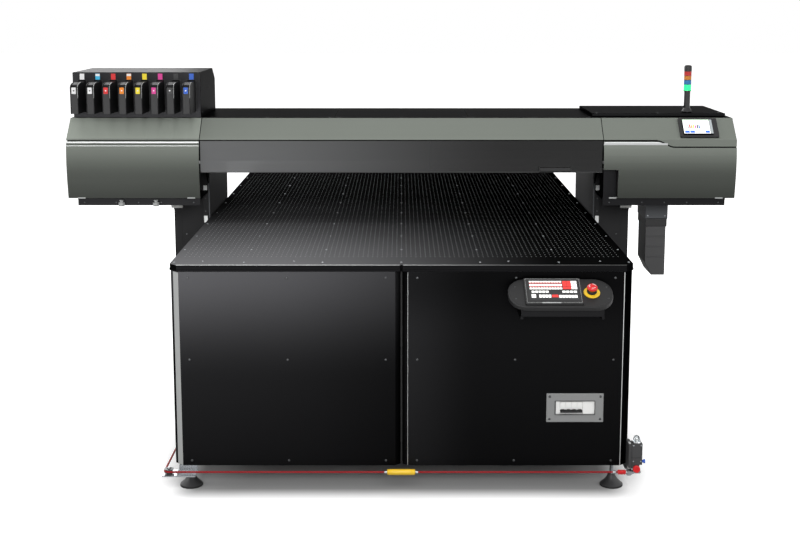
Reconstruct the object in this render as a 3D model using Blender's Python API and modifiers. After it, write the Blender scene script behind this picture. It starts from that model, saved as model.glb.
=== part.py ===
"""A flatbed UV printer: a fixed vacuum table, and a gantry whose beam lifts on two travelling legs.

Lengths are metres. X runs to the right, Y to the back and Z up. Places along Y are written as depths
behind the table's front face, and the origin is on the floor under the middle of the whole machine.
"""

import math

import bmesh
import bpy
from mathutils import Matrix, Vector

# Driving dimensions
TABLE_LENGTH = 3.20
TABLE_HALF = 0.880
TABLE_TOP = 0.909
TABLE_SLAB = 0.0257
CABINET_HALF = 0.877
CABINET_FLAT_HALF = 0.845
CABINET_LOW = 0.118
MODULE_DEPTH = 0.16
SIDE_HALF = 0.845
SHEET = 0.002
GAP = 0.0003

DESK_LEFT = 0.3965
DESK_RIGHT = 0.787
DESK_TILT = math.radians(28.5)
DESK_SLOPE = 0.158
DESK_THICK = 0.022
DESK_BACK = 0.0115
DESK_TOP = 0.858
DESK_REACH = DESK_BACK + DESK_SLOPE * math.cos(DESK_TILT)

SEAM = 0.889
END = 1.474
BEAM_FRONT = 0.865
BAND_LOW = 1.2896
BAND_TOP = 1.378
BAND_BACK = 0.958
BEAM_BACK = 1.4845
COVER_LOW = 1.1445
END_LOW = 1.030
TRAY_LOW = 0.993
SHELL = 0.003
COVER_TOP = 1.283

LEG_INNER = 0.889
LEG_OUTER = 1.055
LEG_FRONT = 1.138
LEG_BACK = 1.740
LEG_LOW = 0.423
LEG_TOP = 1.150
LEG_WALL = 0.008

ROPE_HEIGHT = 0.108
ROPE_DEPTH = -0.045
ROPE_SIDE = -0.910
ROPE_RADIUS = 0.0038
PULLEY_RADIUS = 0.0165
ROPE_RIGHT = 0.828
ROPE_END = 3.105

SLOTS = 8
SLOT_PITCH = 0.0693
FIRST_SLOT = -1.418
INK_TRAY_WIDTH = 0.0345
FOOT_X = 0.830
FOOT_DEPTHS = (0.10, 1.60, 3.04)
LIGHT_X = 1.306
LIGHT_DEPTH = 1.125
RAISED_TOP = 1.392
BAND_TILT = math.atan2(BAND_TOP - BAND_LOW, BAND_BACK - BEAM_FRONT)

# The machine's middle: the desk's front edge and the table's rear face lie equally far from the origin.
FRONT = (DESK_REACH - TABLE_LENGTH) / 2

# How an outline's own axes lie in space, with the third one across the sheet
PLANES = {
    "XY": Matrix(((1, 0, 0), (0, 1, 0), (0, 0, 1))),
    "XZ": Matrix(((1, 0, 0), (0, 0, -1), (0, 1, 0))),
    "YZ": Matrix(((0, 0, 1), (1, 0, 0), (0, 1, 0))),
}
ACROSS = {"XY": Vector((0, 0, 1)), "XZ": Vector((0, 1, 0)), "YZ": Vector((1, 0, 0))}
# Turns that bring a turned shape's own Z axis along each direction
ALONG = {"+Z": (0, 0, 0), "+X": (0, math.pi / 2, 0), "-Y": (math.pi / 2, 0, 0)}


def clear_scene():
    for obj in list(bpy.data.objects):
        bpy.data.objects.remove(obj)


def new_collection(name):
    collection = bpy.data.collections.new(name)
    bpy.context.scene.collection.children.link(collection)
    return collection


clear_scene()
PARTS = new_collection("flatbed_uv_printer")
CUTTERS = new_collection("cutters")


def material(name, colour, roughness, metallic=0.0):
    made = bpy.data.materials.new(name)
    made.use_nodes = True
    shader = made.node_tree.nodes["Principled BSDF"]
    shader.inputs["Base Color"].default_value = (*colour, 1)
    shader.inputs["Roughness"].default_value = roughness
    shader.inputs["Metallic"].default_value = metallic
    return made


BLACK_METAL = material("black_powder_coat", (0.010, 0.010, 0.011), 0.45)
GREY_METAL = material("grey_green_enamel", (0.200, 0.215, 0.195), 0.40)
TABLE_BLACK = material("black_anodised_plate", (0.012, 0.012, 0.012), 0.35, 0.4)
STEEL = material("bright_steel", (0.55, 0.56, 0.58), 0.30, 1.0)
PLASTIC = material("black_plastic", (0.020, 0.020, 0.021), 0.50)
SMOKED = material("smoked_acrylic", (0.030, 0.030, 0.032), 0.15)
RED = material("red_plastic", (0.60, 0.020, 0.020), 0.35)
YELLOW = material("yellow_plastic", (0.90, 0.55, 0.02), 0.40)
BLUE = material("blue_plastic", (0.03, 0.15, 0.65), 0.40)
WHITE = material("white_plastic", (0.75, 0.75, 0.74), 0.40)
MID_GREY = material("grey_plastic", (0.24, 0.24, 0.24), 0.50)
DARK_GREY = material("dark_grey_plastic", (0.06, 0.06, 0.06), 0.50)
CLEAR = material("clear_plastic", (0.80, 0.82, 0.84), 0.10)
CORD_RED = material("red_rope_sheath", (0.45, 0.03, 0.03), 0.55)


def at(x, depth, height):
    return Vector((x, FRONT + depth, height))


def add(name, data, finish):
    """Puts an object in the scene: a part if it has a finish, and otherwise a cutter or a piece to join."""
    obj = bpy.data.objects.new(name, data)
    if finish is None:
        CUTTERS.objects.link(obj)
        obj.hide_render = True
        obj.display_type = "WIRE"
        return obj
    PARTS.objects.link(obj)
    data.materials.append(finish)
    return obj


def weld(mesh):
    made = bmesh.new()
    made.from_mesh(mesh)
    bmesh.ops.remove_doubles(made, verts=made.verts, dist=1e-6)
    bmesh.ops.recalc_face_normals(made, faces=made.faces)
    made.to_mesh(mesh)
    made.free()


def box(name, low, high, finish=None):
    """A block between two corners, given as (x, depth, height)."""
    size = Vector(high) - Vector(low)
    made = bmesh.new()
    bmesh.ops.create_cube(made, size=1.0)
    bmesh.ops.scale(made, vec=size, verts=made.verts)
    mesh = bpy.data.meshes.new(name)
    made.to_mesh(mesh)
    made.free()
    obj = add(name, mesh, finish)
    obj.location = at(*((Vector(low) + Vector(high)) / 2))
    return obj


def prism(name, outlines, low, high, plane, finish=None):
    """Flat outlines, the later ones holes in the first, drawn in a plane and thickened from low to high."""
    curve = bpy.data.curves.new(name, "CURVE")
    curve.dimensions = "2D"
    curve.fill_mode = "BOTH"
    curve.extrude = (high - low) / 2
    for outline in outlines:
        spline = curve.splines.new("POLY")
        spline.points.add(len(outline) - 1)
        spline.use_cyclic_u = True
        for point, (across, up) in zip(spline.points, outline):
            point.co = (across, up, 0, 1)
    guide = bpy.data.objects.new(name + "_outline", curve)
    PARTS.objects.link(guide)
    bpy.context.view_layer.update()
    graph = bpy.context.evaluated_depsgraph_get()
    mesh = bpy.data.meshes.new_from_object(guide.evaluated_get(graph))
    bpy.data.objects.remove(guide)
    mesh.name = name
    weld(mesh)
    mesh.materials.clear()
    obj = add(name, mesh, finish)
    middle = ACROSS[plane] * (low + high) / 2
    obj.matrix_world = Matrix.Translation(at(*middle)) @ PLANES[plane].to_4x4()
    return obj


def turned(name, profile, place, finish=None, along="+Z", steps=24, ring=False):
    """A turned shape: (radius, height) points running down its outer side, closed on itself for a ring."""
    mesh = bpy.data.meshes.new(name)
    edges = [(i, i + 1) for i in range(len(profile) - 1)]
    if ring:
        edges.append((len(profile) - 1, 0))
    mesh.from_pydata([(radius, 0, height) for radius, height in profile], edges, [])
    obj = add(name, mesh, finish)
    obj.location = at(*place)
    obj.rotation_euler = ALONG[along]
    screw = obj.modifiers.new("turn", "SCREW")
    screw.steps = steps
    screw.render_steps = steps
    screw.use_merge_vertices = True
    screw.merge_threshold = 0.00001
    return obj


def rod(name, radius, low, high, place, finish=None, along="+Z", steps=16):
    return turned(name, [(0, high), (radius, high), (radius, low), (0, low)], place, finish, along, steps)


def combine(obj, operation, helpers):
    for helper in helpers:
        boolean = obj.modifiers.new(helper.name, "BOOLEAN")
        boolean.operation = operation
        boolean.solver = "EXACT"
        boolean.object = helper
    return obj


def fuse(obj, *helpers):
    return combine(obj, "UNION", helpers)


def cut(obj, *helpers):
    return combine(obj, "DIFFERENCE", helpers)


def rectangle(left, low, right, high):
    return [(left, low), (right, low), (right, high), (left, high)]


def rounded_rectangle(half_x, half_y, radius, steps=8):
    """An outline round the origin whose corners are quarter circles."""
    outline = []
    for corner in range(4):
        side_x = 1 if corner in (0, 3) else -1
        side_y = 1 if corner in (0, 1) else -1
        for step in range(steps + 1):
            turn = math.pi / 2 * (corner + step / steps)
            outline.append((
                side_x * (half_x - radius) + radius * math.cos(turn),
                side_y * (half_y - radius) + radius * math.sin(turn),
            ))
    return outline


def folded(path, thickness):
    """The outline of a sheet bent along a path, with its thickness to the left of the way the path runs."""
    points = [Vector(point) for point in path]
    ways = [(after - before).normalized() for before, after in zip(points, points[1:])]
    inner = []
    for i, point in enumerate(points):
        before = ways[max(i - 1, 0)]
        after = ways[min(i, len(ways) - 1)]
        left_before = Vector((-before.y, before.x))
        left_after = Vector((-after.y, after.x))
        miter = (left_before + left_after) / (1 + left_before.dot(left_after))
        inner.append(tuple(point + miter * thickness))
    return [*path, *reversed(inner)]


def mirrored(outline, side):
    return [(side * x, y) for x, y in outline]


SIDES = (("left", -1), ("right", 1))


def table_top():
    corner = 0.030
    notch = 0.006
    half, length = TABLE_HALF, TABLE_LENGTH
    outline = [
        (half - corner, 0), (half, corner), (half, length - corner), (half - corner, length),
        (corner - half, length), (-half, length - corner), (-half, corner), (corner - half, 0),
        (-notch, 0), (0, notch), (notch, 0),
    ]
    prism("table_top", [outline], TABLE_TOP - TABLE_SLAB, TABLE_TOP, "XY", TABLE_BLACK)


def front_panels():
    """Two folded pans whose outer corners are chamfered and whose inner edges make the centre groove."""
    high = TABLE_TOP - TABLE_SLAB - GAP
    for label, side in SIDES:
        path = mirrored([
            (0.0035, 0.040), (0.0035, 0.020), (0.0235, 0), (CABINET_FLAT_HALF, 0),
            (CABINET_HALF, 0.032), (CABINET_HALF, MODULE_DEPTH), (SIDE_HALF + 0.0005, MODULE_DEPTH),
        ], side)
        outline = folded(path, SHEET * side)
        panel = prism(f"front_panel_{label}", [outline], CABINET_LOW, high, "XY", BLACK_METAL)
        if side > 0:
            cut(panel, box("breaker_hole", (0.5915, -0.01, 0.3247), (0.7423, 0.02, 0.378)))


def rear_panel():
    path = [
        (SIDE_HALF + 0.0005, TABLE_LENGTH - MODULE_DEPTH), (CABINET_HALF, TABLE_LENGTH - MODULE_DEPTH),
        (CABINET_HALF, TABLE_LENGTH), (-CABINET_HALF, TABLE_LENGTH),
        (-CABINET_HALF, TABLE_LENGTH - MODULE_DEPTH), (-SIDE_HALF - 0.0005, TABLE_LENGTH - MODULE_DEPTH),
    ]
    high = TABLE_TOP - TABLE_SLAB - GAP
    prism("rear_panel", [folded(path, SHEET)], CABINET_LOW, high, "XY", BLACK_METAL)


def side_panels_and_rails():
    high = TABLE_TOP - TABLE_SLAB - GAP
    for label, side in SIDES:
        inner, outer = sorted((side * (SIDE_HALF - SHEET), side * SIDE_HALF))
        box(f"side_panel_{label}", (inner, 0.05, CABINET_LOW), (outer, TABLE_LENGTH - 0.05, high), BLACK_METAL)
        near, far = sorted((side * (SIDE_HALF + GAP), side * 0.8625))
        box(f"side_rail_{label}", (near, 0.20, 0.60), (far, 3.0, 0.63), STEEL)


def base_frame():
    """Two ladder frames of square tube, one at the floor and one under the top, joined by six posts."""
    outer, inner, tube = 0.8425, 0.7825, 0.060
    front, back, middle = 0.045, 3.190, 1.60
    windows = [
        rectangle(-inner, front + tube, inner, middle - tube / 2),
        rectangle(-inner, middle + tube / 2, inner, back - tube),
    ]
    ladder = [rectangle(-outer, front, outer, back), *windows]
    top = TABLE_TOP - TABLE_SLAB - GAP
    frame = prism("base_frame", ladder, CABINET_LOW, CABINET_LOW + tube, "XY", BLACK_METAL)
    pieces = [prism("upper_ladder", ladder, top - tube, top, "XY")]
    for start in (front, middle - tube / 2, back - tube):
        for side in (-1, 1):
            left, right = sorted((side * (inner + 0.002), side * (outer - 0.002)))
            low = (left, start + 0.002, CABINET_LOW + 0.01)
            pieces.append(box("post", low, (right, start + tube - 0.002, top - 0.01)))
    pieces.append(box("rope_lug", (-0.925, ROPE_END + GAP, 0.095), (-0.790, ROPE_END + 0.020, CABINET_LOW - GAP)))
    pieces.append(box("lug_root", (-0.840, ROPE_END + 0.002, 0.100), (-0.792, ROPE_END + 0.018, 0.130)))
    fuse(frame, *pieces)


def levelling_feet():
    """A cone pad, a threaded stem and the steel plate that the stem screws into."""
    profile = [
        (0, 0.110), (0.008, 0.110), (0.008, 0.047), (0.014, 0.045), (0.020, 0.036),
        (0.041, 0.012), (0.045, 0.008), (0.045, 0), (0, 0),
    ]
    for label, side in SIDES:
        for number, depth in enumerate(FOOT_DEPTHS, start=1):
            name = f"foot_{label}_{number}"
            foot = turned(name, profile, (side * FOOT_X, depth, 0), STEEL, steps=18)
            inner, outer = sorted((side * 0.7685, side * 0.857))
            low = (inner, depth - 0.045, 0.104)
            fuse(foot, box(f"plate_{name}", low, (outer, depth + 0.045, CABINET_LOW - GAP)))


def vacuum_blower():
    """A side-channel blower on the frame's middle cross member, with its motor above it."""
    base = CABINET_LOW + 0.060 + GAP
    profile = [
        (0, 0.36), (0.09, 0.36), (0.10, 0.35), (0.10, 0.16), (0.17, 0.15), (0.19, 0.13),
        (0.19, 0.04), (0.17, 0.02), (0.10, 0.02), (0.10, 0), (0, 0),
    ]
    turned("vacuum_blower", profile, (0, 1.60, base), MID_GREY, steps=24)


def pull_rope():
    """One taut rope: along the front, round the corner pulley, and back along the left side."""
    centre = Vector((ROPE_SIDE + PULLEY_RADIUS, ROPE_DEPTH + PULLEY_RADIUS))
    route = [(ROPE_RIGHT, ROPE_DEPTH)]
    turns = 8
    for step in range(turns + 1):
        turn = -math.pi / 2 - math.pi / 2 * step / turns
        route.append((centre.x + PULLEY_RADIUS * math.cos(turn), centre.y + PULLEY_RADIUS * math.sin(turn)))
    route.append((ROPE_SIDE, ROPE_END))
    curve = bpy.data.curves.new("pull_rope", "CURVE")
    curve.dimensions = "3D"
    curve.bevel_depth = ROPE_RADIUS
    curve.bevel_resolution = 2
    curve.use_fill_caps = True
    spline = curve.splines.new("POLY")
    spline.points.add(len(route) - 1)
    for point, (x, depth) in zip(spline.points, route):
        point.co = (*at(x, depth, ROPE_HEIGHT), 1)
    add("pull_rope", curve, CORD_RED)


def rope_fittings():
    bore = ROPE_RADIUS + GAP
    sleeve = [(0.010, 0.0535), (0.012, 0.049), (0.012, -0.049), (0.010, -0.0535), (bore, -0.0535), (bore, 0.0535)]
    turned("rope_sleeve", sleeve, (-0.001, ROPE_DEPTH, ROPE_HEIGHT), YELLOW, "+X", 16, ring=True)
    turnbuckle = [
        (0, 0.090), (0.006, 0.090), (0.006, 0.054), (0.013, 0.053), (0.015, 0.044), (0.013, 0.035),
        (0.005, 0.034), (0.005, 0.031), (0.009, 0.030), (0.009, 0.004), (0.007, GAP), (0, GAP),
    ]
    fitting = turned("rope_turnbuckle", turnbuckle, (ROPE_RIGHT, ROPE_DEPTH, ROPE_HEIGHT), STEEL, "+X", 16)
    fuse(fitting, box("turnbuckle_lug", (0.896, -0.049, 0.110), (0.902, -0.041, 0.1422)))


def corner_pulley():
    x, depth = ROPE_SIDE + PULLEY_RADIUS, ROPE_DEPTH + PULLEY_RADIUS
    groove = PULLEY_RADIUS - ROPE_RADIUS - GAP
    profile = [
        (0.019, 0.008), (0.019, 0.006), (groove, 0.0035), (groove, -0.0035),
        (0.019, -0.006), (0.019, -0.008), (0.0045, -0.008), (0.0045, 0.008),
    ]
    turned("corner_pulley", profile, (x, depth, ROPE_HEIGHT), STEEL, steps=24, ring=True)
    bracket = box("pulley_bracket", (-0.917, -0.052, 0.090), (-0.790, 0.020, 0.095), STEEL)
    riser = box("bracket_riser", (-0.860, 0.004, 0.091), (-0.790, 0.0195, CABINET_LOW - GAP))
    pin = rod("pulley_pin", 0.004, -0.015, 0.012, (x, depth, ROPE_HEIGHT))
    fuse(bracket, riser, pin)


def rope_switch():
    body = box("switch_body", (0.880, -0.060, 0.1425), (0.919, -0.020, 0.2256), DARK_GREY)
    pillar = prism("switch_pillar", [[
        (-0.025, 0.1137), (0.012, 0.1137), (0.012, 0.222), (-0.055, 0.222), (-0.055, 0.128), (-0.025, 0.128),
    ]], 0.8685, 0.8805, "YZ")
    arm = box("switch_arm", (0.860, -0.024, 0.1135), (0.915, 0.050, CABINET_LOW - GAP))
    boss = box("switch_boss", (0.884, -0.0635, 0.118), (0.908, -0.052, 0.150))
    fuse(body, pillar, arm, boss)
    cut(body, rod("button_hole", 0.009, 0, 0.020, (0.896, -0.055, 0.1295), along="-Y"))
    dome = [(0, 0.0286), (0.005, 0.028), (0.010, 0.024), (0.0128, 0.016), (0.0135, 0.006), (0.0135, 0), (0, 0)]
    turned("switch_lamp", dome, (0.8995, -0.040, 0.2256 + GAP), CLEAR, steps=20)
    button = [(0, 0.0165), (0.012, 0.0165), (0.014, 0.0145), (0.014, 0.0070), (0.008, 0.0070), (0.008, 0), (0, 0)]
    turned("switch_button", button, (0.896, -0.0600, 0.1295), RED, "-Y", 20)
    knob = [(0, 0.0147), (0.008, 0.0147), (0.008, 0.011), (0.005, 0.008), (0.005, 0), (0, 0)]
    turned("reset_knob", knob, (0.919 + GAP, -0.040, 0.1500), BLUE, "+X", 16)


def desk_place(x, slope, lift):
    """A point on the sloped desk: how far down the slope from its rear edge, and how far above its face."""
    forward = Vector((0, -math.cos(DESK_TILT), -math.sin(DESK_TILT)))
    normal = Vector((0, -math.sin(DESK_TILT), math.cos(DESK_TILT)))
    return at(x, -DESK_BACK, DESK_TOP) + forward * slope + normal * lift


def control_desk():
    middle = (DESK_LEFT + DESK_RIGHT) / 2
    outline = rounded_rectangle((DESK_RIGHT - DESK_LEFT) / 2, DESK_SLOPE / 2, 0.070)
    tray = prism("desk_tray", [outline], 0, DESK_THICK, "XY", PLASTIC)
    tray.location = desk_place(middle, DESK_SLOPE / 2, -DESK_THICK / 2)
    tray.rotation_euler = (DESK_TILT, 0, 0)
    drop = DESK_THICK / math.cos(DESK_TILT) + 0.001
    reach = 0.120
    slope = math.tan(DESK_TILT)
    rear_top = DESK_TOP + (DESK_BACK - 0.0005) * slope - drop
    prism("desk_bracket", [[
        (-0.0005, 0.737), (-0.0005, rear_top), (-reach, rear_top - (reach - 0.0005) * slope), (-reach, 0.737),
    ]], 0.443, 0.752, "YZ", BLACK_METAL)
    screen = prism("desk_screen", [rounded_rectangle(0.1065, 0.071, 0.004, 2)], 0, 0.010, "XY", PLASTIC)
    screen.location = desk_place(0.5645, 0.079, 0.005 + GAP)
    screen.rotation_euler = (DESK_TILT, 0, 0)


def emergency_stop():
    place = desk_place(0.708, 0.080, GAP)
    ring = [(0.014, 0.016), (0.014, 0.005), (0.030, 0.004), (0.031, 0.002), (0.031, 0), (0.011, 0), (0.011, 0.016)]
    head = [
        (0, 0.034), (0.010, 0.0335), (0.016, 0.031), (0.020, 0.027), (0.0185, 0.0205),
        (0.010, 0.0205), (0.010, 0.0055), (0, 0.0055),
    ]
    base = turned("stop_base", ring, (0, 0, 0), YELLOW, ring=True)
    button = turned("stop_button", head, (0, 0, 0), RED)
    for piece in (base, button):
        piece.location = place
        piece.rotation_euler = (DESK_TILT, 0, 0)


def breaker_panel():
    outline = rectangle(0.556, 0.2946, 0.7746, 0.4078)
    window = rectangle(0.5926, 0.3257, 0.7412, 0.377)
    prism("breaker_frame", [outline, window], -0.006, -GAP, "XZ", MID_GREY)
    modules = box("breaker_modules", (0.5932, -0.003, 0.3263), (0.7406, 0.045, 0.3764), WHITE)
    cut(modules, box("toggle_slot", (0.6085, -0.01, 0.329), (0.695, 0.012, 0.354)))
    lever = [(0.007, 0.339), (0.007, 0.344), (-0.0115, 0.338), (-0.0115, 0.333)]
    toggle = prism("breaker_toggle", [lever], 0.6095, 0.694, "YZ", PLASTIC)
    toggle.location.y = FRONT


def legs():
    for label, side in SIDES:
        inner, outer = LEG_INNER + LEG_WALL, LEG_OUTER - LEG_WALL
        wall = mirrored(rectangle(LEG_INNER, LEG_FRONT, LEG_OUTER, LEG_BACK), side)
        hollow = mirrored(rectangle(inner, LEG_FRONT + LEG_WALL, outer, LEG_BACK - LEG_WALL), side)
        leg = prism(f"leg_{label}", [wall, hollow], LEG_LOW, LEG_TOP, "XY", BLACK_METAL)
        near, far = sorted((side * 0.897, side * 0.917))
        pieces = [box(f"lift_rail_{label}", (near, 1.1265, 0.60), (far, LEG_FRONT + 0.002, LEG_TOP - 0.01))]
        near, far = sorted((side * (LEG_INNER + 0.001), side * (LEG_OUTER - 0.001)))
        low = (near, LEG_FRONT + 0.001, LEG_TOP - LEG_WALL)
        pieces.append(box(f"leg_cap_{label}", low, (far, LEG_BACK - 0.001, LEG_TOP - 0.0005)))
        near, far = sorted((side * 0.863, side * (LEG_INNER + 0.002)))
        for start in (1.17, 1.61):
            pieces.append(box(f"runner_{label}_{start}", (near, start, 0.590), (far, start + 0.10, 0.640)))
        fuse(leg, *pieces)


def beam_box():
    """A hollow girder in front of the legs, with the carriage's rail on its front face."""
    wall = 0.008
    outline = rectangle(1.002, 1.18, 1.118, 1.365)
    hollow = rectangle(1.002 + wall, 1.18 + wall, 1.118 - wall, 1.365 - wall)
    girder = prism("beam_box", [outline, hollow], -1.40, 1.40, "YZ", BLACK_METAL)
    rail = box("carriage_rail", (-1.39, 0.996, 1.292), (1.39, 1.004, 1.312))
    fuse(girder, rail)


def top_covers():
    cover = box("top_cover", (-1.4705, 0.961, 1.3755), (1.4705, BEAM_BACK, BAND_TOP), BLACK_METAL)
    fuse(cover, box("rear_wall", (-0.88, BEAM_BACK - SHELL, 1.19), (0.88, BEAM_BACK - GAP, BAND_TOP - 0.0005)))
    box("right_top_cover", (0.860, 1.030, BAND_TOP + GAP), (1.460, 1.460, RAISED_TOP), BLACK_METAL)


def band(name, left, right, finish):
    """The sloped strip along the front of the beam."""
    path = [(BAND_BACK, BAND_TOP), (BEAM_FRONT, BAND_LOW)]
    return prism(name, [folded(path, SHELL)], left, right, "YZ", finish)


def seam_outline(lift, right, top):
    """The region above the right shell's seam, which runs down through an S to a lower level."""
    start, end, high, low = 1.126, 1.200, 1.2876, 1.2604
    steps = 8
    points = []
    for step in range(steps + 1):
        share = step / steps
        drop = (high - low) * share * share * (3 - 2 * share)
        points.append((start + (end - start) * share, high - drop + lift))
    return [*points, (right, points[-1][1]), (right, top), (start, top)]


def end_shells():
    """The sloped top, the end wall and the rear wall of each end housing."""
    wall = [
        (BEAM_FRONT, BAND_LOW), (0.936, BAND_LOW), (0.936, END_LOW + 0.005), (BEAM_BACK, END_LOW + 0.005),
        (BEAM_BACK, BAND_TOP), (BAND_BACK, BAND_TOP),
    ]
    for label, side in SIDES:
        inner, outer = sorted((side * (SEAM + 0.0015), side * (END - 0.0005)))
        shell = band(f"{label}_end_shell", inner, outer, GREY_METAL)
        near, far = sorted((side * (END - SHELL), side * END))
        pieces = [prism(f"{label}_end_wall", [wall], near, far, "YZ")]
        near, far = sorted((side * 1.07, side * (END - 0.001)))
        low = (near, BEAM_BACK - SHELL, END_LOW + 0.006)
        pieces.append(box(f"{label}_back_wall", low, (far, BEAM_BACK - GAP, 1.374)))
        if side > 0:
            lip = seam_outline(0, END - 0.0002, 1.291)
            pieces.append(prism("right_lip", [lip], 0.862, 0.8675, "XZ"))
        fuse(shell, *pieces)


def centre_band():
    band("centre_band", -SEAM + 0.0015, SEAM - 0.0015, GREY_METAL)


def cover_path():
    """The bulged front of a lower cover, from its top flange down to its bottom flange."""
    top, low, bulge = COVER_TOP, END_LOW, 0.013
    steps = 8
    face = []
    for step in range(steps + 1):
        share = step / steps
        depth = 0.8655 + 0.0025 * share - bulge * math.sin(math.pi * share ** 0.8)
        face.append((depth, top + (low - top) * share))
    return [(0.874, top), *face, (0.884, low)]


def lower_covers():
    path = cover_path()
    cap = [*path[1:-1], (0.932, END_LOW), (0.932, COVER_TOP)]
    for label, side in SIDES:
        inner, outer = sorted((side * (SEAM + 0.0015), side * (END - 0.0005)))
        cover = prism(f"{label}_lower_cover", [folded(path, SHELL)], inner, outer, "YZ", GREY_METAL)
        near, far = sorted((side * (END - SHELL), side * END))
        fuse(cover, prism(f"{label}_cover_side", [cap], near, far, "YZ"))
        if side > 0:
            above = prism("seam_cutter", [seam_outline(-0.006, 1.50, 1.31)], 0.80, 1.00, "XZ")
            notch = box("notch_cutter", (0.87, 0.80, 1.00), (0.956, 1.00, 1.158))
            cut(cover, above, notch)


def maintenance_trays():
    """L-shaped plates round each leg, with a front lip that shows under the cover."""
    for label, side in SIDES:
        plate = mirrored([
            (0.895, 0.900), (1.440, 0.900), (1.440, 1.475), (1.070, 1.475), (1.070, 1.112), (0.895, 1.112),
        ], side)
        tray = prism(f"{label}_tray", [plate], 1.018, 1.0295, "XY", BLACK_METAL)
        near, far = sorted((side * 0.896, side * 1.439))
        pieces = [box(f"{label}_lip", (near, 0.8995, TRAY_LOW), (far, 0.9035, 1.025))]
        if side > 0:
            pieces.append(box("inner_box", (0.897, 0.8992, 1.022), (0.955, 0.985, 1.150)))
            pieces.append(box("waste_bracket", (1.120, 1.065, 0.903), (1.220, 1.255, 1.022)))
        fuse(tray, *pieces)


def waste_bottle():
    body = [(1.124, 0.700), (1.154, 0.640), (1.216, 0.640), (1.216, 0.872), (1.124, 0.872)]
    bottle = prism("waste_bottle", [body], 1.070, 1.250, "XZ", DARK_GREY)
    fuse(bottle, box("bottle_collar", (1.1205, 1.068, 0.868), (1.2200, 1.253, 0.9027)))


def slot_centre(number):
    return FIRST_SLOT + SLOT_PITCH * number


def ink_supply():
    low = BAND_TOP + GAP
    outline = [(0.965, low), (1.415, low), (1.415, 1.529), (1.340, 1.580), (0.965, 1.580)]
    ink_box = prism("ink_box", [outline], -1.460, -0.893, "YZ", PLASTIC)
    half = INK_TRAY_WIDTH / 2
    slots = []
    for number in range(SLOTS):
        x = slot_centre(number)
        slots.append(box(f"slot_{number + 1}", (x - half - 0.001, 0.90, 1.4055), (x + half + 0.001, 1.330, 1.542)))
        box(f"ink_tray_{number + 1}", (x - half, 0.815, 1.4065), (x + half, 1.250, 1.541), PLASTIC)
    cut(ink_box, *slots)


def carriage():
    """The head carriage at its right home, with the capping station under it."""
    profile = [(0.892, 1.155), (0.988, 1.155), (0.988, 1.335), (0.945, 1.335), (0.945, 1.280), (0.892, 1.280)]
    prism("carriage", [profile], 0.930, 1.280, "YZ", PLASTIC)
    box("capping_station", (0.962, 0.892, 1.0298), (1.250, 0.985, 1.145), MID_GREY)


def front_cover():
    """The smoked cover, with a grip whose slot takes the fingers from below."""
    cover = box("front_cover", (-0.886, 0.866, COVER_LOW), (0.886, 0.870, 1.286), SMOKED)
    path = [(0.8675, 1.168), (0.850, 1.168), (0.850, 1.152)]
    fuse(cover, prism("grip", [folded(path, 0.003)], 0.607, 0.7465, "YZ"))


def touch_panel():
    share, lift = 0.50, 0.005 + GAP
    panel = prism("touch_panel", [rounded_rectangle(0.0855, 0.0545, 0.004, 2)], 0, 0.010, "XY", PLASTIC)
    depth = BEAM_FRONT + (BAND_BACK - BEAM_FRONT) * share - lift * math.sin(BAND_TILT)
    height = BAND_LOW + (BAND_TOP - BAND_LOW) * share + lift * math.cos(BAND_TILT)
    panel.location = at(1.312, depth, height)
    panel.rotation_euler = (BAND_TILT, 0, 0)


def stack_light():
    """A foot, a pole, four lens rings and a cap."""
    base = RAISED_TOP + GAP
    profile = [
        (0, 1.604), (0.015, 1.604), (0.017, 1.601), (0.017, 1.576), (0.0175, 1.5755),
        (0.0175, 1.4857), (0.0145, 1.4850), (0.0145, 1.408), (0.023, 1.398), (0.023, base), (0, base),
    ]
    turned("stack_light", profile, (LIGHT_X, LIGHT_DEPTH, 0), PLASTIC, steps=20)


def main():
    table_top()
    front_panels()
    rear_panel()
    side_panels_and_rails()
    base_frame()
    levelling_feet()
    vacuum_blower()
    pull_rope()
    rope_fittings()
    corner_pulley()
    rope_switch()
    control_desk()
    emergency_stop()
    breaker_panel()
    legs()
    beam_box()
    top_covers()
    centre_band()
    end_shells()
    lower_covers()
    maintenance_trays()
    waste_bottle()
    ink_supply()
    carriage()
    front_cover()
    touch_panel()
    stack_light()


main()
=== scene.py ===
"""Finishes and fine detail of a flatbed UV printer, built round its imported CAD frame.

Lengths are metres. X runs to the right, Y to the back and Z up. Places are written as (x, depth, height),
with depth measured back from the table's front face, and turned into the frame's Y by at().
"""

import math

import bmesh
import bpy
from bpy.types import Operator, Panel, PropertyGroup
from mathutils import Matrix, Vector


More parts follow.
